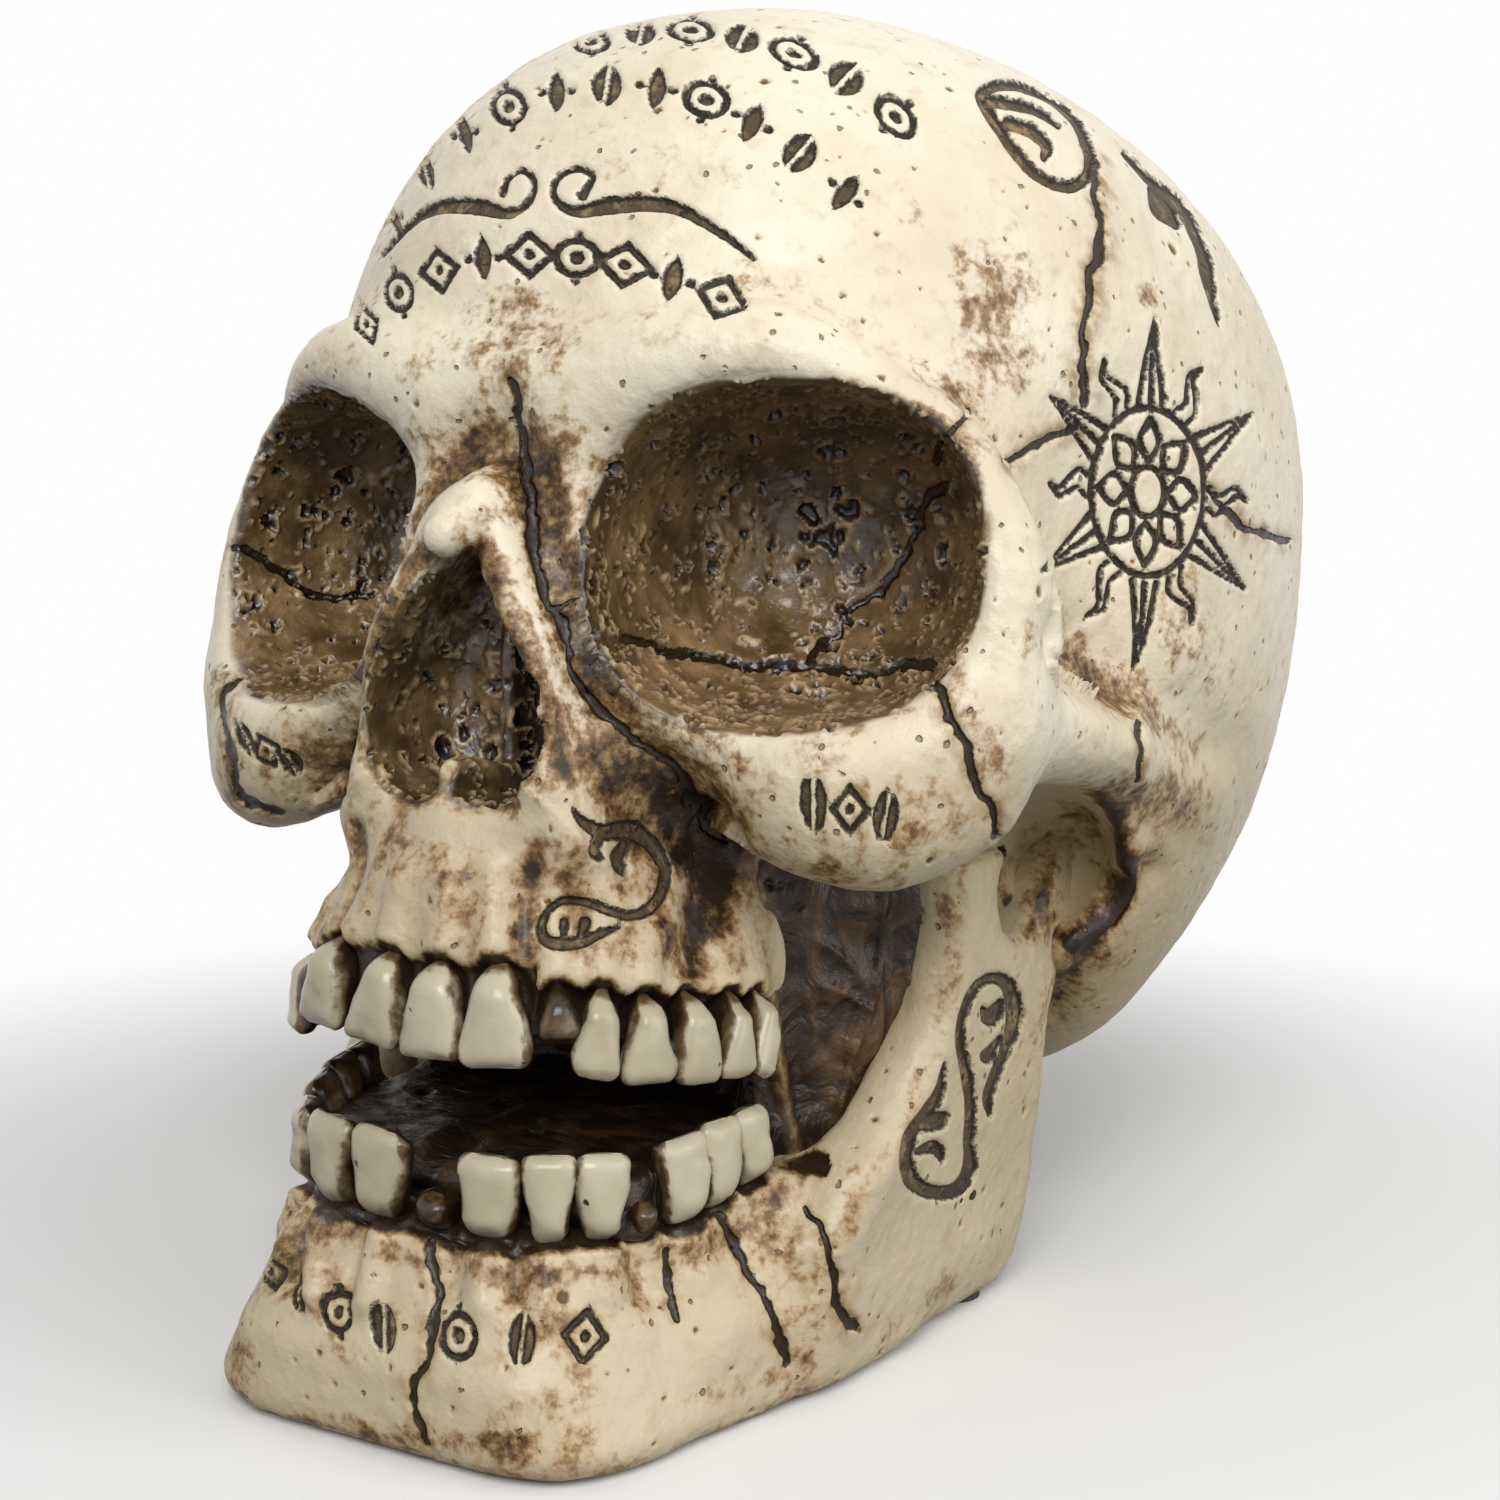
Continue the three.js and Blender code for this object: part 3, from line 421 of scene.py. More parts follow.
def pieceOf(name, data, nodes, material, masks=None):
    for key, values in (masks or {}).items():
        data.attributes.new(key, "FLOAT", "POINT").data.foreach_set("value", np.asarray(values, single))
    place(data, inRow(coordinates(data)))
    data.shade_smooth()
    data.materials.append(material)
    piece = bpy.data.objects.new(name, data)
    bpy.context.scene.collection.objects.link(piece)
    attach(piece, "root")
    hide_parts(*nodes)
    return piece


# Noise.
def hashed(i, j, k, seed):
    h = (i * 374761393 + j * 668265263 + k * 2147483647 + seed * 1274126177) & 0xFFFFFFFF
    h = ((h ^ (h >> 13)) * 1274126177) & 0xFFFFFFFF
    return ((h ^ (h >> 16)) & 0xFFFF).astype(single) / 0xFFFF


def noise(points, cell, seed=0):
    scaled = points / cell
    base = np.floor(scaled).astype(np.int64)
    part = (scaled - base).astype(single)
    part = part * part * (3 - 2 * part)
    total = 0
    for corner in np.ndindex(2, 2, 2):
        weight = np.prod([part[:, i] if corner[i] else 1 - part[:, i] for i in range(3)], 0)
        total = total + weight * hashed(*(base[:, i] + corner[i] for i in range(3)), seed)
    return total * 2 - 1


def dimples(points, cell, chance, radii, seed=0, outside=0.0):
    base = np.floor(points / cell - 0.5).astype(np.int64)
    deepest = np.full(len(points), outside, single)
    for corner in np.ndindex(2, 2, 2):
        at = base + np.array(corner)
        draw = [hashed(at[:, 0], at[:, 1], at[:, 2], seed + n) for n in range(5)]
        centre = (at + 0.3 + 0.4 * np.stack(draw[:3], 1)) * cell
        radius = radii[0] + (radii[1] - radii[0]) * draw[3] ** 2
        depth = 1 - np.sum((points - centre) ** 2, 1) / radius ** 2
        deepest = np.maximum(deepest, np.where(draw[4] < chance, depth, outside))
    return deepest


# The photo's view.
def cameraAxes():
    turn, dip = math.radians(photo["turn"]), math.radians(photo["dip"])
    forward = np.array([-math.sin(turn) * math.cos(dip), math.cos(turn) * math.cos(dip), -math.sin(dip)])
    right = np.array([math.cos(turn), math.sin(turn), 0])
    return right, np.cross(right, forward), forward


def projected(points):
    right, up, forward = cameraAxes()
    seen = points - np.array(photo["place"])
    depth = seen @ forward
    middle = photo["pixels"] / 2
    across, upward = photo["focal"] * (seen @ right) / depth, photo["focal"] * (seen @ up) / depth
    return middle + across, middle - upward, depth


def viewOf(points, normals):
    u, v, depth = projected(points)
    toward = np.array(photo["place"]) - points
    facing = np.sum(toward * normals, 1) / length(*toward.T)
    patch = photo["patch"]
    width = photo["pixels"] // patch + 1
    down, across = (np.clip(part, 0, photo["pixels"]) // patch for part in (v, u))
    at = (down * width + across).astype(int)
    nearest = np.full(width * width, 1e9)
    np.minimum.at(nearest, at, depth)
    shown = (facing > photo["least"]) & (depth < nearest[at] + photo["behind"])
    fade = stepped(facing, *photo["fade"])
    return {"u": u, "v": v, "scale": depth / photo["focal"], "fade": fade, "open": shown}


# The surface as the photo shows it, and mirrored.
def viewsOf(points, normals):
    return [viewOf(points * flip, normals * flip) for flip in ((1, 1, 1), (-1, 1, 1))]


# Marks read off the photo, in its pixels. Each says which side of the skull it lies on: near, far,
# all across, or a pair mirrored on both. Cracks: side, half width and depth in millimetres, path.
cracks = [
    ("near", 0.8, 0.8, [(508, 380), (510, 440), (530, 500)]),
    ("pair", 0.8, 0.8, [
        (528, 494), (553, 590), (565, 605), (590, 680), (640, 760), (690, 820), (735, 845),
    ]),
    ("pair", 0.5, 0.4, [(555, 600), (580, 597)]),
    ("near", 0.9, 0.9, [
        (626, 639), (673, 652), (706, 657), (736, 663), (769, 668), (809, 665), (868, 672), (895, 665),
        (936, 668),
    ]),
    ("near", 0.7, 0.7, [
        (809, 662), (819, 642), (838, 632), (842, 614), (858, 605), (898, 572), (911, 536), (925, 503),
        (941, 486),
    ]),
    ("near", 0.7, 0.8, [
        (936, 678), (948, 715), (968, 745), (975, 781), (994, 808), (998, 831), (1008, 850),
    ]),
    ("near", 0.5, 0.5, [(935, 463), (941, 441), (968, 413)]),
    ("far", 0.8, 0.8, [(233, 549), (263, 562), (306, 589), (339, 599), (389, 599)]),
    ("far", 0.7, 0.7, [(240, 680), (224, 692), (222, 716), (228, 753), (235, 786), (248, 806), (279, 816)]),
    ("pair", 0.8, 0.7, [
        (1095, 162), (1100, 205), (1104, 260), (1091, 271), (1089, 314), (1083, 341), (1083, 404),
    ]),
    ("near", 0.7, 0.6, [(1009, 462), (1036, 444), (1075, 431)]),
    ("pair", 0.7, 0.6, [(1211, 493), (1250, 528), (1289, 540)]),
    ("near", 0.5, 0.5, [(1145, 718), (1142, 745), (1136, 777)]),
]
jawCracks = [
    ("all", 0.7, 0.7, [(425, 1237), (434, 1300), (428, 1358), (414, 1376), (417, 1407), (425, 1447)]),
    ("near", 0.6, 0.6, [(667, 1250), (669, 1290), (678, 1318)]),
    ("near", 0.7, 0.7, [(722, 1215), (742, 1255), (765, 1300), (783, 1340), (785, 1365)]),
    ("near", 0.7, 0.7, [(805, 1206), (827, 1233), (834, 1264), (836, 1309), (854, 1331)]),
]
# Engraved strokes: side, then a run of (across, down, half width).
scrolls = [
    ("all", [
        (502, 193, 4), (507, 180, 2.5), (521, 171, 2.5), (533, 180, 3), (528, 201, 3), (507, 213, 5),
        (476, 206, 8), (441, 207, 6), (412, 222, 4), (381, 254, 2),
    ]),
    ("all", [
        (581, 194, 5), (589, 183, 3), (591, 174, 3), (578, 168, 3), (559, 175, 3), (552, 194, 3),
        (571, 210, 5), (606, 205, 8), (645, 202, 8), (680, 208, 6), (722, 233, 4), (754, 258, 2),
    ]),
    ("near", [
        (574, 811, 2), (587, 824, 6), (611, 834, 9), (637, 833, 9), (657, 845, 7), (667, 867, 6),
        (662, 893, 6), (648, 910, 6), (629, 915, 5), (603, 907, 5), (581, 901, 4), (562, 901, 4),
        (547, 911, 4), (541, 926, 5), (545, 939, 6), (560, 943, 7), (581, 942, 6), (601, 934, 5),
        (622, 925, 2),
    ]),
    ("near", [(608, 838, 5), (598, 851, 8), (603, 860, 3)]),
    ("near", [(634, 846, 5), (622, 862, 8), (626, 874, 3)]),
    ("near", [(563, 936, 3), (565, 921, 5)]),
    ("near", [(580, 938, 3), (586, 922, 6)]),
    ("near", [
        (1091, 170, 5), (1081, 182, 6), (1064, 185, 6), (1036, 171, 6), (1010, 142, 6), (988, 110, 6),
        (983, 92, 6), (1006, 84, 5), (1044, 96, 4), (1074, 118, 5), (1090, 148, 6), (1090, 168, 5),
    ]),
    ("near", [(992, 100, 7), (1018, 104, 6), (1040, 112, 5), (1058, 126, 3)]),
    ("near", [(1010, 122, 7), (1032, 130, 7), (1048, 144, 6), (1046, 156, 4)]),
    ("near", [
        (1126, 152, 3), (1149, 177, 4), (1180, 203, 5), (1200, 240, 6), (1209, 270, 8), (1214, 296, 5),
        (1220, 324, 2),
    ]),
    ("near", [(1155, 188, 5), (1164, 206, 11), (1178, 222, 6)]),
]
jawScrolls = [
    ("pair", [
        (991, 1116, 2), (989, 1098, 5), (997, 1072, 6), (1009, 1045, 6), (1016, 1013, 9), (1008, 984, 7),
        (991, 979, 5), (974, 992, 5), (964, 1017, 5), (962, 1043, 5), (968, 1074, 6), (972, 1100, 6),
        (971, 1141, 6), (970, 1170, 7), (957, 1190, 7), (935, 1193, 7), (915, 1183, 8), (908, 1161, 8),
        (912, 1136, 8), (927, 1114, 7), (940, 1093, 6), (945, 1064, 2),
    ]),
    ("pair", [(1002, 1003, 4), (993, 1018, 9), (985, 1010, 3)]),
    ("pair", [(1001, 1040, 4), (988, 1057, 7)]),
    ("pair", [(922, 1128, 4), (938, 1122, 9), (946, 1116, 4)]),
    ("pair", [(920, 1152, 4), (936, 1148, 7), (944, 1160, 3)]),
]
# Rows on the forehead, cheeks and chin: side, kinds of motif, and for each its
# (across, down, half width, half height, lean).
rows = [
    ("all", "lozenge ring lozenge dart lozenge ring lozenge dart lozenge", [
        (365, 322, 8, 24, -18), (398, 292, 11, 24, -14), (438, 270, 13, 24, -10), (482, 258, 15, 24, -4),
        (528, 254, 17, 24, 0), (576, 257, 18, 24, 4), (624, 264, 19, 24, 8), (672, 278, 19, 24, 14),
        (722, 296, 18, 23, 20),
    ]),
    ("all", "dart leaf dart ring dart leaf dart ring dart leaf dart", [
        (392, 218, 8, 22, -24), (424, 170, 9, 22, -20), (464, 133, 11, 22, -14), (508, 106, 13, 22, -8),
        (556, 91, 15, 22, -2), (606, 84, 16, 22, 2), (656, 86, 17, 22, 8), (706, 98, 18, 22, 16),
        (752, 121, 18, 22, 26), (800, 152, 18, 22, 34), (846, 192, 17, 22, 40),
    ]),
    ("all", "ring leaf ring leaf ring leaf ring", [
        (590, 41, 14, 13, -2), (640, 31, 16, 13, 2), (690, 29, 18, 14, 6), (742, 37, 19, 15, 14),
        (794, 52, 20, 17, 24), (846, 78, 20, 18, 36), (896, 116, 19, 19, 46),
    ]),
    ("near", "leaf lozenge leaf", [(813, 802, 15, 34, -4), (850, 810, 13, 26, 0), (886, 817, 14, 30, 6)]),
    ("far", "leaf lozenge leaf", [(243, 738, 8, 22, -26), (264, 752, 9, 20, -24), (286, 766, 9, 20, -30)]),
]
jawRows = [
    ("all", "lozenge leaf ring leaf ring leaf lozenge", [
        (268, 1270, 7, 22, -14), (297, 1292, 9, 24, -12), (336, 1312, 11, 26, -8), (382, 1328, 13, 28, -4),
        (458, 1336, 14, 30, 0), (522, 1340, 15, 30, 3), (586, 1336, 15, 30, 6),
    ]),
]
# Soft ridges and hollows: side, half width and rise in millimetres, path.
reliefs = [
    ("near", 4.5, -2.2, [(1075, 640), (1120, 678), (1170, 708), (1206, 750)]),
    ("near", 2.2, 1.3, [(1130, 850), (1100, 905), (1066, 960)]),
    ("near", 2.0, -1.6, [(1150, 868), (1120, 905), (1082, 965), (1054, 1010)]),
    ("pair", 3.6, -1.7, [(506, 425), (530, 500), (555, 595), (592, 680), (642, 760), (700, 822)]),
    ("pair", 2.4, 1.3, [(445, 545), (478, 590), (507, 655), (528, 720), (536, 785)]),
    ("all", 2.6, 1.4, [(500, 474), (468, 500), (438, 530)]),
    ("all", 3.6, -0.8, [(438, 452), (480, 455), (520, 470), (552, 500)]),
    ("pair", 7.0, -2.2, [(585, 730), (650, 790)]),
    ("pair", 3.0, -1.8, [(716, 850), (708, 910), (698, 965)]),
    ("pair", 1.8, -1.2, [(536, 850), (524, 900), (522, 955)]),
    ("pair", 2.0, 1.1, [(448, 880), (438, 945)]),
    ("pair", 2.2, 1.1, [(490, 870), (492, 950)]),
    ("pair", 2.0, 0.8, [(604, 940), (604, 985)]),
    ("pair", 2.0, 0.8, [(652, 930), (650, 985)]),
    ("near", 1.6, 0.9, [(1150, 700), (1150, 735), (1140, 775)]),
]
jawReliefs = [
    ("pair", 2.2, 1.2, [(487, 1250), (482, 1300)]),
    ("pair", 2.2, 1.0, [(548, 1255), (546, 1300)]),
    ("pair", 2.2, 1.0, [(604, 1252), (606, 1292)]),
    ("pair", 2.0, -1.6, [(516, 1258), (514, 1290)]),
    ("pair", 2.0, -1.6, [(452, 1235), (446, 1290)]),
    ("pair", 2.2, -1.8, [(640, 1240), (650, 1290)]),
    ("pair", 2.2, 1.2, [(690, 1232), (700, 1275)]),
    ("far", 2.0, 1.6, [(378, 1230), (366, 1300)]),
    ("far", 2.0, 1.6, [(330, 1212), (316, 1290)]),
    ("far", 1.8, -2.0, [(352, 1225), (340, 1290)]),
    ("far", 1.8, -2.0, [(306, 1200), (290, 1275)]),
]
webReliefs = [
    ("pair", 0.9, 1.1, [(757, 880), (766, 960), (774, 1050), (790, 1130), (803, 1187)]),
    ("pair", 0.6, 0.6, [(885, 890), (880, 960), (868, 1010), (850, 1060), (835, 1130)]),
    ("pair", 0.6, 0.5, [(818, 985), (842, 992), (868, 1008)]),
    ("pair", 0.6, 0.5, [(815, 940), (840, 955), (862, 985), (846, 1040)]),
    ("pair", 0.6, 0.5, [(905, 960), (915, 1020), (890, 1080)]),
]
# Brown wash, and painted shade under the cheek arch and in the hollow behind it: side, strength, half width
# in pixels, path.
stainsAndShade = [
    ("all", 0.5, 46, [(520, 320), (515, 380)]),
    ("all", 0.7, 40, [(440, 450), (500, 440), (555, 452)]),
    ("pair", 0.85, 34, [(536, 470), (556, 560), (580, 640), (606, 700)]),
    ("pair", 1.0, 22, [(488, 560), (516, 630), (546, 700), (562, 770)]),
    ("near", 0.5, 18, [(536, 470), (500, 520)]),
    ("pair", 0.62, 50, [(585, 715), (640, 770), (700, 820)]),
    ("pair", 0.85, 22, [(722, 850), (712, 905), (700, 965)]),
    ("pair", 0.9, 14, [(540, 850), (526, 900), (524, 960)]),
    ("all", 0.5, 22, [(395, 850), (470, 880), (480, 920)]),
    ("all", 0.5, 16, [(560, 850), (580, 930)]),
    ("near", 0.5, 18, [(640, 940), (700, 930)]),
    ("near", 0.75, 44, [(1003, 272), (1003, 350)]),
    ("near", 0.9, 14, [(1150, 294), (1153, 298)]),
    ("pair", 0.75, 26, [(1070, 640), (1110, 680), (1165, 712), (1200, 750)]),
    # Painted shade, in brown, under the cheek arch and in the hollow behind it.
    ("pair", 1.0, 34, [(1080, 830), (1130, 800), (1185, 800)]),
    ("near", 1.1, 34, [(1034, 856), (1040, 900)]),
    ("pair", 1.2, 20, [(1140, 862), (1112, 905), (1076, 962), (1050, 1005)]),
    ("near", 0.6, 30, [(1060, 985), (1120, 950)]),
    ("far", 0.6, 16, [(222, 680), (226, 800)]),
    ("near", 0.45, 30, [(955, 400), (965, 440)]),
    ("near", 0.55, 24, [(622, 470), (600, 540), (620, 640)]),
    ("near", 0.4, 24, [(700, 745), (760, 765), (840, 735)]),
    ("near", 0.35, 30, [(760, 850), (860, 890)]),
    ("all", 0.35, 40, [(600, 150), (760, 190)]),
    ("near", 0.4, 46, [(1190, 620), (1230, 690)]),
    ("all", 0.2, 24, [(640, 330), (720, 350)]),
    ("near", 0.35, 30, [(900, 200), (960, 260)]),
    ("all", 0.5, 20, [(350, 350), (300, 380)]),
    ("pair", 0.5, 20, [(590, 950), (690, 950)]),
    ("near", 0.7, 16, [(958, 250), (968, 320)]),
    ("near", 0.6, 12, [(1040, 610), (1030, 650)]),
    ("near", 0.5, 16, [(760, 690), (700, 720)]),
    ("near", 0.45, 20, [(960, 690), (990, 760)]),
    ("all", 0.4, 16, [(450, 350), (410, 372)]),
]
jawStainsAndShade = [
    ("all", 0.55, 12, [
        (300, 1215), (380, 1250), (470, 1272), (560, 1276), (660, 1262), (740, 1222), (780, 1190),
    ]),
    ("far", 0.9, 34, [(285, 1215), (292, 1290)]),
    ("near", 0.8, 26, [(640, 1262), (648, 1300)]),
    ("all", 0.6, 18, [(330, 1352), (362, 1354)]),
    ("all", 0.7, 16, [(300, 1420), (420, 1440), (520, 1446)]),
    ("near", 0.6, 26, [(700, 1240), (770, 1225)]),
    ("near", 0.2, 18, [(810, 1170), (850, 1165)]),
    # Painted shade, in brown, in the hollow under the cheek arch.
    ("near", 0.9, 20, [(1038, 860), (1040, 925)]),
    ("near", 0.9, 20, [(1112, 880), (1062, 985), (1046, 1040)]),
    ("far", 0.6, 14, [(246, 1350), (240, 1400)]),
    ("near", 0.35, 24, [(520, 1330), (600, 1330)]),
    ("all", 0.6, 20, [(320, 1280), (330, 1330)]),
    ("all", 0.6, 14, [(516, 1256), (512, 1300)]),
    ("all", 0.6, 14, [(448, 1240), (442, 1300)]),
    ("near", 0.4, 20, [(880, 1330), (960, 1290)]),
    ("near", 0.3, 20, [(700, 1400), (800, 1370)]),
    ("near", 0.5, 12, [(944, 905), (948, 925)]),
    ("near", 0.5, 16, [(380, 1305), (420, 1330)]),
]
medallion = {
    "side": "pair", "centre": (1149, 492), "half": (56, 84), "line": 3.2, "fine": 2.4, "thin": 1.5,
    "rings": (1.0, 0.3), "rays": 12, "reach": (1.75, 2.1), "root": 1.08, "spread": 0.2, "petals": 8,
    "petal": (0.36, 0.62, 0.88), "opens": 0.3, "lean": 0.06, "sway": [0, 0.07, 0, -0.06, 0],
}


def medallionStrokes():
    centre, half = np.array(medallion["centre"]), np.array(medallion["half"])
    line, fine, thin = (medallion[key] for key in ("line", "fine", "thin"))
    root, spread = medallion["root"], medallion["spread"]
    near, middle, far = medallion["petal"]

    def at(turn, reach, wide=line):
        turn = turn + medallion["lean"]
        x, y = centre + half * reach * np.array([math.sin(turn), -math.cos(turn)])
        return (x, y, wide)

    circle = np.linspace(0, 2 * math.pi, 25)
    strokes = [[at(turn, reach) for turn in circle] for reach in medallion["rings"]]
    for n in range(medallion["rays"]):
        turn = 2 * math.pi * n / medallion["rays"]
        reach = medallion["reach"][(n + 1) % 2]
        if n % 2:
            for side in (-1, 1):
                steps = zip(np.linspace(root, reach, 5), np.linspace(spread * 0.6, 0, 5), medallion["sway"])
                strokes.append([at(turn + side * apart + bend, out, fine) for out, apart, bend in steps])
        else:
            for side in (-1, 1):
                strokes.append([at(turn + side * spread, root), at(turn, reach, thin)])
            strokes.append([at(turn, root), at(turn, reach, thin)])
    for n in range(medallion["petals"]):
        turn = 2 * math.pi * n / medallion["petals"]
        for side in (-1, 1):
            strokes.append([at(turn, near), at(turn + side * medallion["opens"], middle), at(turn, far)])
    return [(medallion["side"], stroke) for stroke in strokes]


# Distance from a motif's line, in units of its half height.
def motif(kind, x, y):
    line = 0.13
    if kind == "lozenge":
        rim = np.abs(np.abs(x) + np.abs(y) - 0.86) * 0.7 - line
        return np.minimum(rim, length(x, y) - 0.2)
    if kind == "ring":
        rim = np.abs(length(x, y) - 0.72) - line
        dot = length(x, y) - 0.26
        return np.minimum(np.minimum(rim, dot), length(x, np.abs(y) - 1) - 0.14)
    if kind == "leaf":
        body = length(np.abs(x) + 0.62, y) - 1.18
        return np.maximum(body, 0.1 - np.abs(x + 0.1 * y))
    spindle = np.maximum(length(np.abs(x) + 1.3, y) - 1.62, -2)
    return np.minimum(spindle, length(np.abs(x) - 0.62, y) - 0.17)


# For each view that shows a mark, the points near its path on the mark's side.
def shownIn(views, x, side, path, reach):
    low, high = np.min([p[:2] for p in path], 0) - reach, np.max([p[:2] for p in path], 0) + reach
    for flipped, view in enumerate(views):
        if flipped and side != "pair":
            continue
        keep = view["open"] & (view["u"] > low[0]) & (view["u"] < high[0])
        keep &= (view["v"] > low[1]) & (view["v"] < high[1])
        if side != "all":
            keep &= x * (-1 if side == "far" or flipped else 1) > 0
        yield view, np.flatnonzero(keep)


# Nearest distance in millimetres from each point to the marks, as the photo shows them.
def inkOf(views, x, marks, distanceOf, reach=26):
    nearest = np.full(len(x), 9.0)
    for mark in marks:
        for view, at in shownIn(views, x, mark[0], mark[-1], reach):
            away = distanceOf(mark, view["u"][at], view["v"][at]) * view["scale"][at]
            nearest[at] = np.minimum(nearest[at], away)
    return nearest


def crackDistance(mark, u, v):
    jag = np.stack([u, v, 0 * u], 1)
    u = u + 4 * noise(jag, 22, 5) + 2.5 * noise(jag, 8, 6)
    v = v + 4 * noise(jag, 22, 7) + 2.5 * noise(jag, 8, 8)
    return limb(u, v, 0 * u, [(p[0], p[1], 0, 0) for p in mark[-1]], 2)


def strokeDistance(mark, u, v):
    return limb(u, v, 0 * u, [(p[0], p[1], 0, p[2]) for p in mark[-1]], 4)


def rowDistance(mark, u, v):
    nearest = np.full(len(u), 50.0)
    for kind, (across, down, wide, tall, lean) in zip(mark[1].split(), mark[-1]):
        turn = math.radians(lean)
        du, dv = u - across, v - down
        x = (du * math.cos(turn) + dv * math.sin(turn)) / wide * 0.62
        y = (dv * math.cos(turn) - du * math.sin(turn)) / tall
        nearest = np.minimum(nearest, motif(kind, x, y) * (wide / 0.62 + tall) / 2)
    return nearest


def crackOf(views, x, marks):
    depth, ratio = np.zeros(len(x)), np.full(len(x), 9.0)
    for mark in marks:
        _, wide, deep, _ = mark
        away = inkOf(views, x, [mark], crackDistance) / wide
        depth = np.maximum(depth, deep * np.clip(1 - away, 0, 1) ** 0.7)
        ratio = np.minimum(ratio, away)
    return depth, ratio


def pathDistance(mark, u, v):
    return limb(u, v, 0 * u, [(p[0], p[1], 0, 0) for p in mark[-1]], 2)


def reliefOf(views, x, marks):
    rise = np.zeros(len(x))
    for mark in marks:
        _, wide, high, _ = mark
        away = inkOf(views, x, [mark], pathDistance, wide * 3 / views[0]["scale"].min())
        rise += high * np.exp(-(away / wide) ** 2) * (away < 9)
    return rise


def stainAndShadeOf(views, x, points, marks):
    washshade = np.zeros(len(x))
    ragged = noise(points, 5, 41) * 0.14 + noise(points, 2, 42) * 0.2 + noise(points, 0.9, 43) * 0.3
    for side, strength, half, path in marks:
        for view, at in shownIn(views, x, side, path, half * 2):
            away = pathDistance((path,), view["u"][at], view["v"][at]) / half
            amount = strength * view["fade"][at] * (1 - stepped(away + ragged[at], 0.0, 1.7))
            washshade[at] = np.maximum(washshade[at], amount)
    patches = stepped(noise(points, 21, 71) + noise(points, 6, 72) * 0.3, 0.1, 0.7)
    return np.maximum(washshade, (1 - views[0]["fade"]) * patches * 0.5)


# Teeth.
upperArch = {
    "front": -28.5, "half": 31.4, "depth": 42, "power": 2.6, "gumOut": -0.9, "tipOut": 1.8,
    "root": 9, "widest": 8.9,
}
lowerArch = {
    "front": -30.4, "half": 32.4, "depth": 45, "power": 2.6, "gumOut": -1.2, "tipOut": -0.2,
    "root": 8, "widest": 8.5,
}
# Each tooth as the photo shows it: the neck's middle, the tip's two ends, the tip's level,
# and how much of its height is left.
upperRow = {
    "left_1": ((436, 958), (385, 462), 1058, 1),
    "left_2": ((494, 962), (452, 531), 1069, 1),
    "left_3": ((557, 985), (533, 592), 1075, 0.62),
    "left_4": ((604, 987), (568, 624), 1080, 1),
    "left_5": ((650, 992), (626, 682), 1084, 1),
    "left_6": ((695, 992), (680, 730), 1084, 1),
    "left_7": ((737, 992), (727, 760), 1076, 1),
    "left_8": ((764, 990), (757, 781), 1076, 1),
    "right_1": ((388, 948), (338, 390), 1043, 1),
    "right_2": ((330, 935), (286, 338), 1024, 1),
}
lowerRow = {
    "left_1": ((432, 1235), (412, 452), 1160, 0.5),
    "left_2": ((487, 1246), (453, 519), 1160, 1),
    "left_3": ((548, 1250), (520, 578), 1159, 1),
    "left_4": ((602, 1247), (578, 634), 1158, 1),
    "left_5": ((646, 1240), (632, 664), 1150, 0.4),
    "left_6": ((688, 1228), (661, 714), 1140, 1),
    "left_7": ((722, 1210), (707, 747), 1122, 1),
    "left_8": ((756, 1186), (741, 774), 1110, 1),
    "right_1": ((378, 1222), (344, 402), 1133, 1),
    "right_2": ((330, 1206), (298, 348), 1118, 1),
    "right_3": ((300, 1190), (278, 308), 1103, 1),
}


def archPoints(arch, out):
    t = np.linspace(0, math.pi / 2 * 0.985, 500)
    x = arch["half"] * np.sin(t) ** (2 / arch["power"])
    y = arch["front"] + arch["depth"] * (1 - np.cos(t) ** (2 / arch["power"]))
    x, y = np.concatenate([-x[:0:-1], x]), np.concatenate([y[:0:-1], y])
    way = np.stack([np.gradient(x), np.gradient(y)], 1)
    way /= length(*way.T)[:, None]
    outward = np.stack([way[:, 1], -way[:, 0]], 1)
    points = np.stack([x, y], 1)
    along = np.concatenate([[0], np.cumsum(length(*np.diff(points, axis=0).T))])
    return points + outward * out, outward, along - along[len(along) // 2]


# Where the sight line through a pixel meets the arch: the point, outward, and how far along.
def onArch(arch, out, u, v):
    points, outward, along = archPoints(arch, out)
    right, up, forward = cameraAxes()
    middle = photo["pixels"] / 2
    ray = forward + right * (u - middle) / photo["focal"] - up * (v - middle) / photo["focal"]
    eye = np.array(photo["place"])
    across = np.array([ray[1], -ray[0]])
    off = (points - eye[:2]) @ across
    facing = outward @ ray[:2] < 0.35
    best = np.argmin(np.abs(off) + np.where(facing, 0, 1e6))
    reach = (points[best] - eye[:2]) @ ray[:2] / (ray[:2] @ ray[:2])
    return np.array([*points[best], eye[2] + reach * ray[2]]), np.array([*outward[best], 0]), along[best]


crown = {
    "y": 26, "z": (8, 76), "steps": 26, "sides": 40, "power": 2.6, "depth": 5.6, "tipRound": 0.11,
    "places": [-0.5, -0.06, 0.04, 0.16, 0.34, 0.6, 0.85, 1.0],
    "upper": [0.04, 0.1, 0.32, 0.53, 0.71, 0.89, 1.0, 0.95],
    "lower": [0.2, 0.4, 0.58, 0.7, 0.8, 0.92, 1.0, 0.97],
    "depths": [0.4, 0.5, 0.66, 0.86, 1.0, 0.86, 0.68, 0.5],
    "setBack": ([-0.5, -0.06, 0.1, 0.25], [8.0, 3.6, 2.2, 1.3]),
}


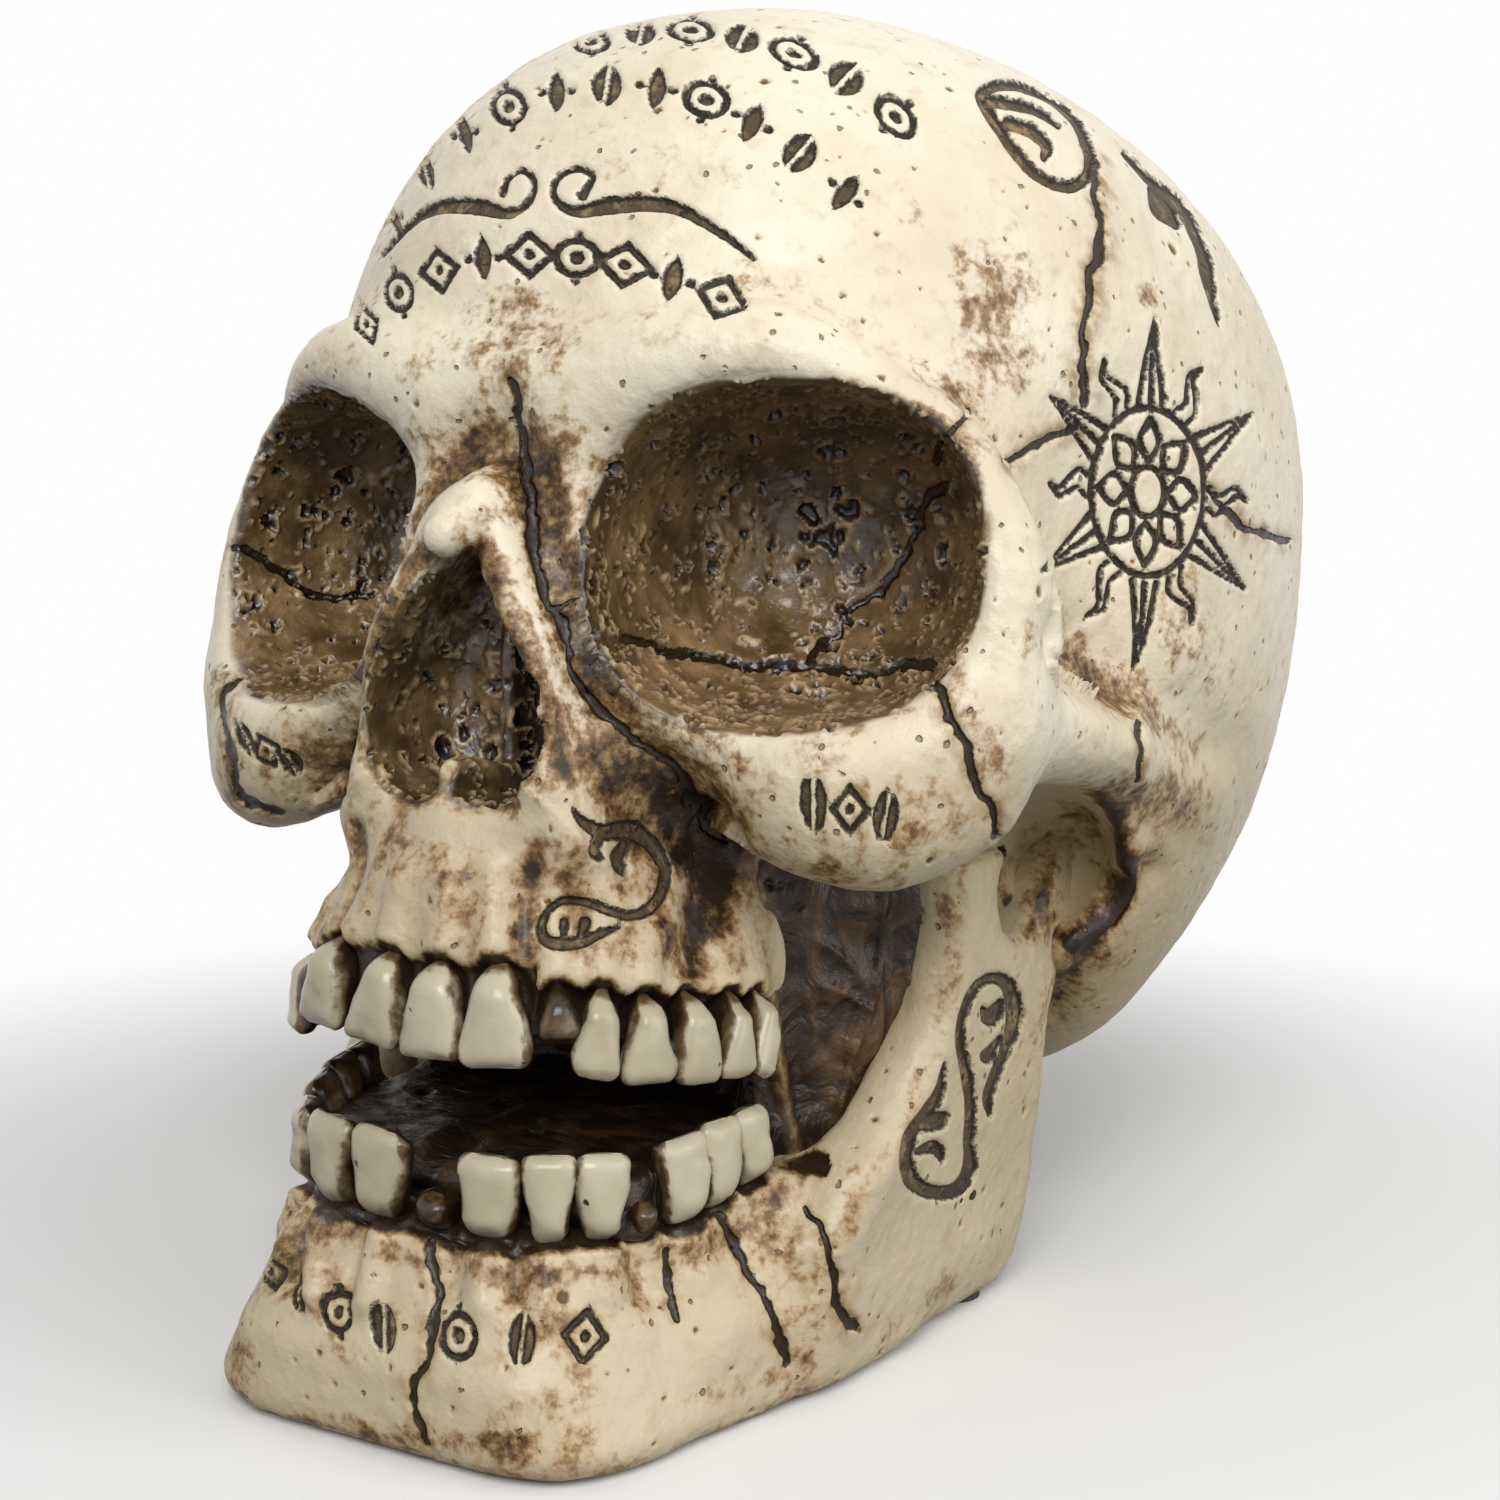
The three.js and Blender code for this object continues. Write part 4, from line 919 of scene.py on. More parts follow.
def toothAxes(arch, row, prefix):
    teeth = []
    for number in range(1, 9):
        for side in ("left", "right"):
            key = f"{side}_{number}"
            neckAt, (left, right), level, top = row.get(key, row[f"left_{number}"])
            neck, _, _ = onArch(arch, arch["gumOut"], *neckAt)
            tip, outward, _ = onArch(arch, arch["tipOut"], (left + right) / 2, level)
            ends = [onArch(arch, arch["tipOut"], u, level)[2] for u in (left, right)]
            wide = min(abs(ends[1] - ends[0]) * 0.98, arch["widest"])
            if side == "right" and key not in row:
                flip = np.array([-1, 1, 1])
                neck, tip, outward = neck * flip, tip * flip, outward * flip
            tall = np.linalg.norm(tip - neck)
            axis = (tip - neck) / tall
            across = np.cross(axis, outward)
            across /= np.linalg.norm(across)
            teeth.append({
                "name": prefix + key, "neck": neck, "axis": axis, "tall": tall, "across": across,
                "outward": outward, "front": np.cross(across, axis), "wide": wide, "top": top,
                "root": arch["root"],
                "widths": crown["upper"] if arch is upperArch else crown["lower"],
            })
    return teeth


def crownDistance(points, teeth):
    nearest, share = np.full(len(points), 9.0), np.full(len(points), -1.0)
    low, high = crown["z"]
    at = np.flatnonzero((points[:, 1] < crown["y"]) & (points[:, 2] < high) & (points[:, 2] > low))
    for tooth in teeth:
        away = points[at] - tooth["neck"]
        t = away @ tooth["axis"] / tooth["tall"]
        half = np.interp(t, crown["places"], tooth["widths"]) * tooth["wide"] / 2
        back = np.interp(t, *crown["setBack"])
        sideways = np.maximum(np.abs(away @ tooth["across"]) - half, 0)
        inward = np.maximum(np.abs(away @ tooth["front"] + back) - crown["depth"] / 2, 0)
        past = np.maximum(-0.05 - t, 0) * tooth["tall"] + np.maximum(t - 1, 0) * tooth["tall"]
        distance = length(sideways, inward, past)
        closer = distance < nearest[at]
        nearest[at[closer]] = distance[closer]
        share[at[closer]] = t[closer]
    return nearest, share


def toothMesh(tooth):
    top, tall, wide = tooth["top"], tooth["tall"], tooth["wide"]
    tipRound = crown["tipRound"]
    straight = np.linspace(-0.5, top - tipRound, crown["steps"])
    rounded = top - tipRound * (1 - np.sin(np.linspace(0.2, math.pi / 2, 7)))
    t = np.concatenate([straight, rounded])
    rounding = np.sqrt(np.clip(1 - (np.clip(t - top + tipRound, 0, None) / tipRound) ** 2, 0, 1))
    widths = np.interp(t, crown["places"], tooth["widths"]) * wide / 2
    widths = np.maximum(widths - tipRound * tall * (1 - rounding), 0.02)
    depths = np.interp(t, crown["places"], crown["depths"]) * crown["depth"] / 2 * rounding + 0.01
    turn = np.linspace(0, 2 * math.pi, crown["sides"], endpoint=False)
    cosine, sine = np.cos(turn), np.sin(turn)
    sideways = np.sign(cosine) * np.abs(cosine) ** (2 / crown["power"])
    outwards = np.sign(sine) * np.abs(sine) ** (2 / crown["power"])
    back = np.interp(t, *crown["setBack"])
    centre = tooth["neck"] + tooth["axis"] * (t * tall)[:, None] - tooth["front"] * back[:, None]
    points = centre[:, None] + tooth["across"] * (widths[:, None] * sideways)[..., None]
    points = (points + tooth["front"] * (depths[:, None] * outwards)[..., None]).reshape(-1, 3)
    sides, count = crown["sides"], len(t)
    i, j = np.meshgrid(np.arange(count - 1), np.arange(sides), indexing="ij")
    after = (j + 1) % sides
    corners = [i * sides + j, i * sides + after, (i + 1) * sides + after, (i + 1) * sides + j]
    quads = np.stack(corners, -1).reshape(-1, 4)
    return points, quads, np.repeat(t, sides), np.tile(sideways, count), np.tile(outwards, count)


upperTeeth = toothAxes(upperArch, upperRow, "upper_tooth_")
lowerTeeth = toothAxes(lowerArch, lowerRow, "lower_tooth_")


# Materials.
def feed(tree, sockets, values):
    for key, value in values.items():
        if isinstance(value, bpy.types.NodeSocket):
            tree.links.new(value, sockets[key])
        else:
            sockets[key].default_value = value


def node(tree, kind, inputs=None, **settings):
    made = tree.nodes.new(kind)
    for key, value in settings.items():
        setattr(made, key, value)
    feed(tree, made.inputs, inputs or {})
    return made


def math2(tree, operation, a, b=0.0):
    return node(tree, "ShaderNodeMath", {0: a, 1: b}, operation=operation).outputs[0]


def mixed(tree, share, a, b):
    return node(tree, "ShaderNodeMix", {0: share, 6: a, 7: b}, data_type="RGBA").outputs[2]


def ranged(tree, value, low, high, outLow=0.0, outHigh=1.0):
    keys = {"Value": value, "From Min": low, "From Max": high, "To Min": outLow, "To Max": outHigh}
    return node(tree, "ShaderNodeMapRange", keys, interpolation_type="SMOOTHSTEP").outputs[0]


def groupOf(name, masks, outputs=("Color", "Roughness", "Height")):
    tree = bpy.data.node_groups.new(name, "ShaderNodeTree")
    for key in masks:
        tree.interface.new_socket(key, in_out="INPUT", socket_type="NodeSocketFloat").default_value = 0.0
    for key in outputs:
        kind = "NodeSocketColor" if key == "Color" else "NodeSocketFloat"
        tree.interface.new_socket(key, in_out="OUTPUT", socket_type=kind)
    return tree, tree.nodes.new("NodeGroupInput").outputs, tree.nodes.new("NodeGroupOutput").inputs


def shifted(tree, *offset):
    where = node(tree, "ShaderNodeTexCoord").outputs["Object"]
    return node(tree, "ShaderNodeVectorMath", {0: where, 1: offset}, operation="ADD").outputs[0]


def grain(tree, scale, detail=4.0, offset=0.0):
    moved = shifted(tree, offset, offset * 0.7, offset * 0.3)
    inputs = {"Vector": moved, "Scale": scale, "Detail": detail, "Roughness": 0.6}
    return node(tree, "ShaderNodeTexNoise", inputs).outputs[0]


# Small round spots in some of a texture's cells.
def specksOf(tree, scale, offset, edge, above):
    moved = shifted(tree, offset, offset, offset)
    bent = node(tree, "ShaderNodeTexNoise", {"Vector": moved, "Scale": scale * 1.7}).outputs[1]
    inputs = {0: bent, 1: (0.5 / scale,) * 3, 2: moved}
    moved = node(tree, "ShaderNodeVectorMath", inputs, operation="MULTIPLY_ADD").outputs[0]
    found = node(tree, "ShaderNodeTexVoronoi", {"Vector": moved, "Scale": scale})
    draw = node(tree, "ShaderNodeSeparateColor", {0: found.outputs["Color"]}).outputs[0]
    chosen = math2(tree, "GREATER_THAN", draw, above)
    return math2(tree, "MULTIPLY", ranged(tree, found.outputs["Distance"], edge, edge - 0.1), chosen)


def sumsOf(tree, *kinds):
    return [partial(math2, tree, kind) for kind in kinds]


def toolsOf(tree):
    return [partial(tool, tree) for tool in (mixed, ranged, grain)]


boneMasks = ("Washshade", "Ink", "Crack", "Dark", "Pit", "Side")
liningMasks = ("Black", "Pit", "Seam")
colours = {
    "ivory": (0.66, 0.565, 0.42, 1), "pale": (0.76, 0.68, 0.545, 1), "honey": (0.43, 0.345, 0.205, 1),
    "tan": (0.36, 0.24, 0.115, 1), "washshade": (0.15, 0.082, 0.03, 1), "deepWashShade": (0.022, 0.011, 0.0045, 1),
    "carved": (0.018, 0.01, 0.004, 1), "carvedFill": (0.075, 0.046, 0.021, 1),
    "carvedTan": (0.24, 0.16, 0.08, 1), "dark": (0.075, 0.042, 0.017, 1),
    "darkLight": (0.31, 0.20, 0.09, 1),
    "black": (0.008, 0.005, 0.003, 1), "rim": (0.58, 0.41, 0.23, 1), "enamel": (0.37, 0.32, 0.22, 1),
    "enamelPale": (0.49, 0.43, 0.32, 1), "enamelBrown": (0.10, 0.058, 0.024, 1),
    "liningDark": (0.022, 0.011, 0.005, 1), "liningLight": (0.115, 0.06, 0.024, 1),
}


# An amount with its edge broken up by a texture, once for each.
def brokenUp(tree, amount, *breaks):
    for texture, reach in breaks:
        edge = ranged(tree, texture, 0.36, 0.68, -reach, reach)
        edge = math2(tree, "MULTIPLY", edge, ranged(tree, amount, 0.0, 0.3))
        amount = math2(tree, "ADD", amount, edge)
    return amount


def stainedBy(tree, washshade, colour, steps):
    for key, (low, high) in steps.items():
        colour = mixed(tree, ranged(tree, washshade, low, high), colour, colours[key])
    return colour


def boneGroup():
    tree, given, out = groupOf("boneLook", boneMasks, ("Color", "Roughness", "Height", "Coat"))
    times, plus, less, most = sumsOf(tree, "MULTIPLY", "ADD", "SUBTRACT", "MAXIMUM")
    mix, fade, grains = toolsOf(tree)
    broad, streak = grains(34.0, 4.0), grains(110.0, 6.0, 7.0)
    fine, grit = grains(320.0, 5.0, 3.0), grains(950.0, 3.0, 9.0)
    base = mix(fade(broad, 0.36, 0.66), colours["ivory"], colours["pale"])
    base = mix(times(given["Side"], 0.85), base, colours["honey"])
    base = mix(fade(fine, 0.52, 0.75, 0.0, 0.3), base, colours["tan"])
    speck = specksOf(tree, 430.0, 0.0, 0.2, 0.78)
    # This mask holds brown stains and painted shade: shade in recesses, beside and between the teeth, and
    # under the cheek arch.
    washshade = brokenUp(tree, given["Washshade"], (streak, 0.14), (fine, 0.26), (grit, 0.2))
    halo = times(fade(given["Crack"], 4.5, 0.4), fade(fine, 0.35, 0.65, 0.15, 0.7))
    washshade = most(washshade, most(halo, times(given["Pit"], 1.05)))
    colour = stainedBy(tree, washshade, base, {"tan": (0.0, 0.8), "washshade": (0.4, 1.05), "deepWashShade": (0.8, 1.4)})
    colour = mix(times(speck, 0.75), colour, colours["washshade"])
    jag = times(less(grit, 0.5), 0.7)
    carve = fade(plus(given["Ink"], jag), 0.14, -0.12)
    fill = mix(fade(fine, 0.5, 0.66), colours["carvedFill"], colours["carvedTan"])
    fill = mix(fade(grit, 0.44, 0.36), fill, colours["carved"])
    carved = mix(fade(given["Ink"], -0.42, -0.2), fill, colours["carved"])
    colour = mix(carve, colour, carved)
    line = fade(plus(given["Crack"], jag), 0.78, 0.45)
    inner = mix(fade(streak, 0.34, 0.7), colours["dark"], colours["darkLight"])
    inner = mix(fade(fine, 0.5, 0.7, 0.0, 0.6), inner, colours["dark"])
    # Painted shade: darker deeper in the eye sockets and nose, following the recess shade held in the wash
    # mask.
    inner = mix(fade(given["Washshade"], 0.0, 0.9, 0.0, 0.85), inner, colours["liningDark"])
    # Painted highlight: a paler ring of colour around each pit in the sockets, on its raised rim.
    inner = mix(times(given["Pit"], -1.0), inner, colours["rim"])
    inner = mix(given["Pit"], inner, colours["black"])
    colour = mix(given["Dark"], colour, inner)
    colour = mix(line, colour, colours["deepWashShade"])
    rough = fade(carve, 0.2, 0.7, 0.36, 0.62)
    rough = less(rough, times(given["Dark"], 0.16))
    height = less(plus(times(streak, 0.5), times(fine, 0.5)), times(speck, 0.6))
    height = less(height, times(most(carve, line), 0.9))
    height = plus(height, times(times(grit, carve), 0.8))
    height = plus(height, times(times(streak, given["Dark"]), 1.2))
    coat = plus(times(given["Dark"], 0.5), 0.06)
    feed(tree, out, {"Color": colour, "Roughness": rough, "Height": height, "Coat": coat})
    return tree


def finishOf(name, group, masks, coat=0.3, bump=0.0006):
    material = bpy.data.materials.new(name)
    material.use_nodes = True
    tree = material.node_tree
    look = node(tree, "ShaderNodeGroup", node_tree=group)
    for key in masks:
        value = node(tree, "ShaderNodeAttribute", attribute_name=key.lower()).outputs["Fac"]
        tree.links.new(value, look.inputs[key])
    inputs = {"Height": look.outputs["Height"], "Distance": bump, "Strength": 1.0}
    raised = node(tree, "ShaderNodeBump", inputs).outputs[0]
    surface = tree.nodes["Principled BSDF"].inputs
    feed(tree, surface, {
        "Base Color": look.outputs["Color"], "Roughness": look.outputs["Roughness"], "Normal": raised,
        "Specular IOR Level": 0.28, "Coat Weight": coat, "Coat Roughness": 0.18,
    })
    if "Coat" in look.outputs:
        tree.links.new(look.outputs["Coat"], surface["Coat Weight"])
    return material


def toothGroup():
    tree, given, out = groupOf("toothLook", ("Washshade",))
    times, plus, less = sumsOf(tree, "MULTIPLY", "ADD", "SUBTRACT")
    mix, fade, grains = toolsOf(tree)
    broad, streak, fine = grains(60.0, 3.0), grains(150.0, 6.0, 4.0), grains(420.0, 4.0, 6.0)
    base = mix(fade(broad, 0.35, 0.65), colours["enamel"], colours["enamelPale"])
    speck = specksOf(tree, 360.0, 2.0, 0.22, 0.93)
    # This mask holds painted shade on the flanks, back and neck of each tooth, and the darker colour of
    # broken teeth.
    washshade = brokenUp(tree, given["Washshade"], (streak, 0.3), (fine, 0.2))
    colour = stainedBy(tree, washshade, base, {"enamelBrown": (0.05, 0.7), "deepWashShade": (0.65, 1.2)})
    colour = mix(speck, colour, colours["deepWashShade"])
    height = less(plus(times(streak, 0.3), times(fine, 0.2)), times(speck, 0.8))
    feed(tree, out, {"Color": colour, "Roughness": 0.3, "Height": height})
    return tree


def liningGroup():
    tree, given, out = groupOf("liningLook", liningMasks)
    times, plus, most = sumsOf(tree, "MULTIPLY", "ADD", "MAXIMUM")
    mix, fade, grains = toolsOf(tree)
    where = node(tree, "ShaderNodeTexCoord").outputs["Object"]
    scales = {0: where, 1: (90.0, 240.0, 130.0)}
    inputs = {"Vector": node(tree, "ShaderNodeVectorMath", scales, operation="MULTIPLY").outputs[0]}
    inputs.update(Scale=1.0, Detail=5.0, Distortion=1.4)
    ripple = node(tree, "ShaderNodeTexNoise", inputs).outputs[0]
    fine = grains(300.0, 4.0, 2.0)
    colour = mix(fade(ripple, 0.4, 0.75), colours["liningDark"], colours["liningLight"])
    colour = mix(most(given["Pit"], given["Black"]), colour, colours["black"])
    colour = mix(times(given["Seam"], fade(fine, 0.4, 0.6, 0.2, 0.7)), colour, colours["tan"])
    feed(tree, out, {"Color": colour, "Roughness": 0.34, "Height": plus(ripple, times(fine, 0.4))})
    return tree


boneFinish = finishOf("bone", boneGroup(), boneMasks, bump=0.0007)
toothFinish = finishOf("toothEnamel", toothGroup(), ("Washshade",), coat=0.35)
liningFinish = finishOf("darkResin", liningGroup(), liningMasks, coat=0.06, bump=0.0011)


# Pieces.
casting = {
    "broad": 7, "close": 2.5, "gum": (-0.02, 0.12), "gumNear": 7, "seat": (0.1, 1.5), "seatDeep": 0.9,
    "gumDeep": 0.8, "toothShade": (2.3, 1.5), "gumShade": 1.7, "carveEdge": (-0.25, 0.3), "carveDeep": 0.7,
    "pitEdge": (0.1, 0.7), "pitDeep": 0.4, "washFrom": 0.16,
}


def worked(field, key):
    data = refined(meshOf(key + "Cast", *surfaceOf(field, *boxes[key], mesh[key])), 1)
    points = coordinates(data).astype(np.float64)
    print(key, len(points), "points")
    return data, points, normalsOf(data).astype(np.float64)


# How open the surroundings are within reach of the surface.
def openness(field, points, normals, reach):
    out = points + normals * reach
    return np.clip(field(*out.T.astype(single)) / reach, 0, 1)


def pitsOf(points, seed):
    large = dimples(points, 6, 0.3, (0.5, 1.2), seed)
    small = dimples(points, 3.2, 0.34, (0.3, 0.7), seed + 20)
    return np.maximum(large, np.maximum(small, dimples(points, 2.1, 0.2, (0.25, 0.45), seed + 40)))


def roughness(points):
    waves = ((16, 1, 0.25), (5, 2, 0.13), (2.3, 8, 0.09), (1.2, 9, 0.05))
    return sum(noise(points, cell, seed) * high for cell, seed, high in waves)


# What both castings share: how far the surface rises, its ink and crack masks, and a wash mask that holds
# brown stains together with painted shade in recesses, beside the teeth and under the cheek arch.
def marked(field, teeth, points, normals, gumBack, closeShade, marks):
    x, views = points[:, 0], viewsOf(points, normals)
    cracked, ratio = crackOf(views, x, marks["cracks"])
    away, share = crownDistance(points, teeth)
    gum = stepped(share, *casting["gum"]) * (away < casting["gumNear"]) * (points[:, 1] < gumBack)
    seat = (1 - stepped(away, *casting["seat"])) * casting["seatDeep"] + gum * casting["gumDeep"]
    # Painted shade on the bone beside each tooth, strongest at the crown, and over the bone in the gaps
    # between the teeth.
    strongest, fades = casting["toothShade"]
    stainAndShade = np.maximum(strongest - away * fades, gum * casting["gumShade"])
    stainAndShade = np.maximum(stainAndShade, stainAndShadeOf(views, x, points, marks["stainsAndShade"]))
    # Painted shade: the wash grows darker where the surface is enclosed, broadly and close in, in recesses
    # and creases.
    for key, strength in (("broad", 0.9), ("close", closeShade)):
        stainAndShade += (1 - openness(field, points, normals, casting[key])) * strength
    ink = inkOf(views, x, marks["strokes"], strokeDistance)
    rowViews = [dict(view, open=view["open"] & (points[:, 1] < marks["rowsBack"])) for view in views]
    ink = np.minimum(ink, inkOf(rowViews, x, marks["rows"], rowDistance))
    carved = cracked + stepped(-ink, *casting["carveEdge"]) * casting["carveDeep"]
    masks = {"washshade": stainAndShade - casting["washFrom"], "ink": np.clip(ink, -1, 2), "crack": ratio}
    return roughness(points) - carved, reliefOf(views, x, marks["reliefs"]) - seat, masks


# Wash that runs down the front, below a height.
def streaksOf(points, low, base, seed):
    front = low * stepped(14 - points[:, 1], 0, 10)
    runs = front * (base + 0.5 * np.clip(noise(points * (1, 1, 0.3), 2.0, seed), 0, 1))
    return front, runs + noise(points, 9, 4) * 0.12


data, points, normals = worked(craniumField, "cranium")
dark = stepped(-uncutField(*points.T.astype(single)), 0.3, 0.9)
inNose = -limb(np.abs(points[:, 0]), points[:, 2], 0 * points[:, 0], nose["outline"])
spineAway = cone(*points.T, *nose["spine"])
dark = np.maximum(dark, stepped(inNose, 0.4, 1.2) * (points[:, 1] < 20) * stepped(spineAway, 0.2, 0.8))
marks = {
    "cracks": cracks, "reliefs": reliefs, "stainsAndShade": stainsAndShade, "strokes": scrolls + medallionStrokes(),
    "rows": rows, "rowsBack": 200,
}
depth, relief, masks = marked(craniumField, upperTeeth, points, normals, 26, 0.8, marks)
pit = pitsOf(points, 3)
bent = points + np.stack([noise(points, 1.7, seed) for seed in (61, 62, 63)], 1) * 1.1
orbitPit = dimples(bent, 2.3, 0.75, (0.45, 0.95), 11, -2)
orbitPit = np.maximum(orbitPit, dimples(bent, 4.2, 0.6, (0.8, 1.6), 12, -2))
rim = stepped(orbitPit, -1.1, -0.35) * (1 - stepped(orbitPit, -0.25, 0.05))
ringed = stepped(orbitPit, -0.1, 0.5) * 0.85 - rim * 0.42
hollow = ringed - noise(points, 3.4, 14) * 0.34 - noise(points, 1.5, 15) * 0.12
depth += relief * (dark < 0.3) - np.where(dark > 0.5, hollow, stepped(pit, 0, 0.8) * casting["pitDeep"])
points += normals * depth[:, None]
place(data, points)
_, y, z = points.T
lowFront, runs = streaksOf(points, stepped(86 - z, 0, 10), 0.2, 51)
masks["washshade"] += runs
masks["dark"] = dark
# Negative on the raised pit rims, which take the paler painted-highlight colour.
orbitMask = stepped(orbitPit, -0.1, 0.3) - rim * 0.8
masks["pit"] = np.where(dark < 0.5, stepped(pit, *casting["pitEdge"]), orbitMask)
behind = stepped(y, 10, 60) * stepped(100 - z, 0, 40)
masks["side"] = behind * 0.9 + stepped(-z, -84, -56) * 0.35 + lowFront * 0.55
pieceOf("craniumCast", data, ["cranium"], boneFinish, masks)

data, points, normals = worked(jawField, "jaw")
marks = {
    "cracks": jawCracks, "reliefs": jawReliefs, "stainsAndShade": jawStainsAndShade, "strokes": jawScrolls,
    "rows": jawRows, "rowsBack": 20,
}
depth, relief, masks = marked(jawField, lowerTeeth, points, normals, 8, 0.9, marks)
pit = pitsOf(points, 5)
points += normals * (depth + relief - stepped(pit, 0, 0.8) * casting["pitDeep"])[:, None]
points[:, 2] = np.maximum(points[:, 2], 0)
place(data, points)
_, runs = streaksOf(points, stepped(points[:, 2], 9, 24), 0.1, 52)
masks["washshade"] += runs
masks["dark"] = 0 * pit
masks["pit"] = stepped(pit, *casting["pitEdge"])
masks["side"] = 0.85 + stepped(points[:, 1], 10, 90) * 0.15
pieceOf("jawCast", data, ["mandible"], boneFinish, masks)

data, points, normals = worked(liningField, "lining")
views = viewsOf(points, normals)
pit = np.maximum(dimples(points, 3.2, 0.35, (0.4, 1.1), 23), dimples(points, 7, 0.3, (0.8, 1.7), 24))
depth = noise(points, 6, 21) * 0.8 + noise(points, 2.4, 22) * 0.35 - stepped(pit, 0, 0.6) * 0.6
points += normals * (depth + reliefOf(views, points[:, 0], webReliefs))[:, None]
place(data, points)
mottle = 0.45 + 0.5 * stepped(noise(points, 3, 25), -0.1, 0.3)
seam = inkOf(views, points[:, 0], webReliefs[:1], pathDistance)
masks = {
    "black": stepped(40 - points[:, 2], 0, 10) * mottle, "pit": stepped(pit, *casting["pitEdge"]),
    "seam": 1 - stepped(seam, 0.4, 1.4),
}
pieceOf("liningCast", data, ["mouth_lining"], liningFinish, masks)

for tooth in upperTeeth + lowerTeeth:
    points, quads, t, across, front = toothMesh(tooth)
    points = points + (noise(points, 2.8, 31) * 0.26 + noise(points, 1.2, 32) * 0.09)[:, None]
    sides, count = crown["sides"], len(points)
    points = np.vstack([points, points[:sides].mean(0), points[-sides:].mean(0)])
    ring = np.arange(sides)
    lower = np.stack([np.roll(ring, -1), ring, np.full(sides, count)], 1)
    upper = np.stack([ring, np.roll(ring, -1), np.full(sides, count + 1)], 1)
    upper[:, :2] += count - sides
    data = bpy.data.meshes.new(tooth["name"])
    data.from_pydata(points.tolist(), [], quads.tolist() + lower.tolist() + upper.tolist())
    # Painted shade on each tooth's flanks and back, and at the neck where it meets the bone; broken teeth
    # are darker all over.
    sideShade = stepped(np.abs(across), 0.72, 1.0) * (0.95 - 0.45 * t) + stepped(-front, -0.15, 0.3) * 0.9
    washshade = np.concatenate([stepped(0.2 - t, 0, 0.24) * 0.8 + sideShade, [1, 0.3]])
    pieceOf(tooth["name"], data, [tooth["name"]], toothFinish, {"washshade": washshade + (tooth["top"] < 1)})
print("teeth done")

felt = {"colour": (0.03, 0.03, 0.032), "roughness": 0.9, "fuzz": 900.0, "paler": 1.8}
stopper = dict(felt, colour=(0.05, 0.05, 0.055))
for name, look in {"base_plug": stopper, **{f"felt_pad_{number}": felt for number in range(1, 5)}}.items():
    material = bpy.data.materials.new(name + "Finish")
    material.use_nodes = True
    tree = material.node_tree
    paler = (*(c * look["paler"] for c in look["colour"]), 1)
    colour = mixed(tree, grain(tree, look["fuzz"], 3.0), (*look["colour"], 1), paler)
    feed(tree, tree.nodes["Principled BSDF"].inputs, {"Base Color": colour, "Roughness": look["roughness"]})
    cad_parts[name].data.materials.clear()
    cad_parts[name].data.materials.append(material)
print("stopper and pads done")


# Stage, lights and camera.
def seenRays(tree):
    path = node(tree, "ShaderNodeLightPath")
    seen = math2(tree, "MAXIMUM", path.outputs["Is Camera Ray"], path.outputs["Is Glossy Ray"])
    return math2(tree, "MAXIMUM", seen, path.outputs["Is Transmission Ray"])


stage = {
    "half": 3, "grey": 0.4, "greySeen": 0.8, "clear": (0.1, 0.26), "aim": (0, 0, 0.08), "soft": 0.42,
    "warm": (1, 0.98, 0.95, 1),
}
edge = stage["half"]
floor = bpy.data.objects.new("floor", bpy.data.meshes.new("floor"))
corners = [(-edge, -edge, 0), (edge, -edge, 0), (edge, edge, 0), (-edge, edge, 0)]
floor.data.from_pydata(corners, [], [(0, 1, 2, 3)])
paper = bpy.data.materials.new("paper")
paper.use_nodes = True
tree = paper.node_tree
surface = tree.nodes["Principled BSDF"]
fromCamera = node(tree, "ShaderNodeLightPath").outputs["Is Camera Ray"]
shades = [(stage[key],) * 3 + (1,) for key in ("grey", "greySeen")]
feed(tree, surface.inputs, {"Base Color": mixed(tree, fromCamera, *shades), "Roughness": 0.9})
where = node(tree, "ShaderNodeTexCoord").outputs["Object"]
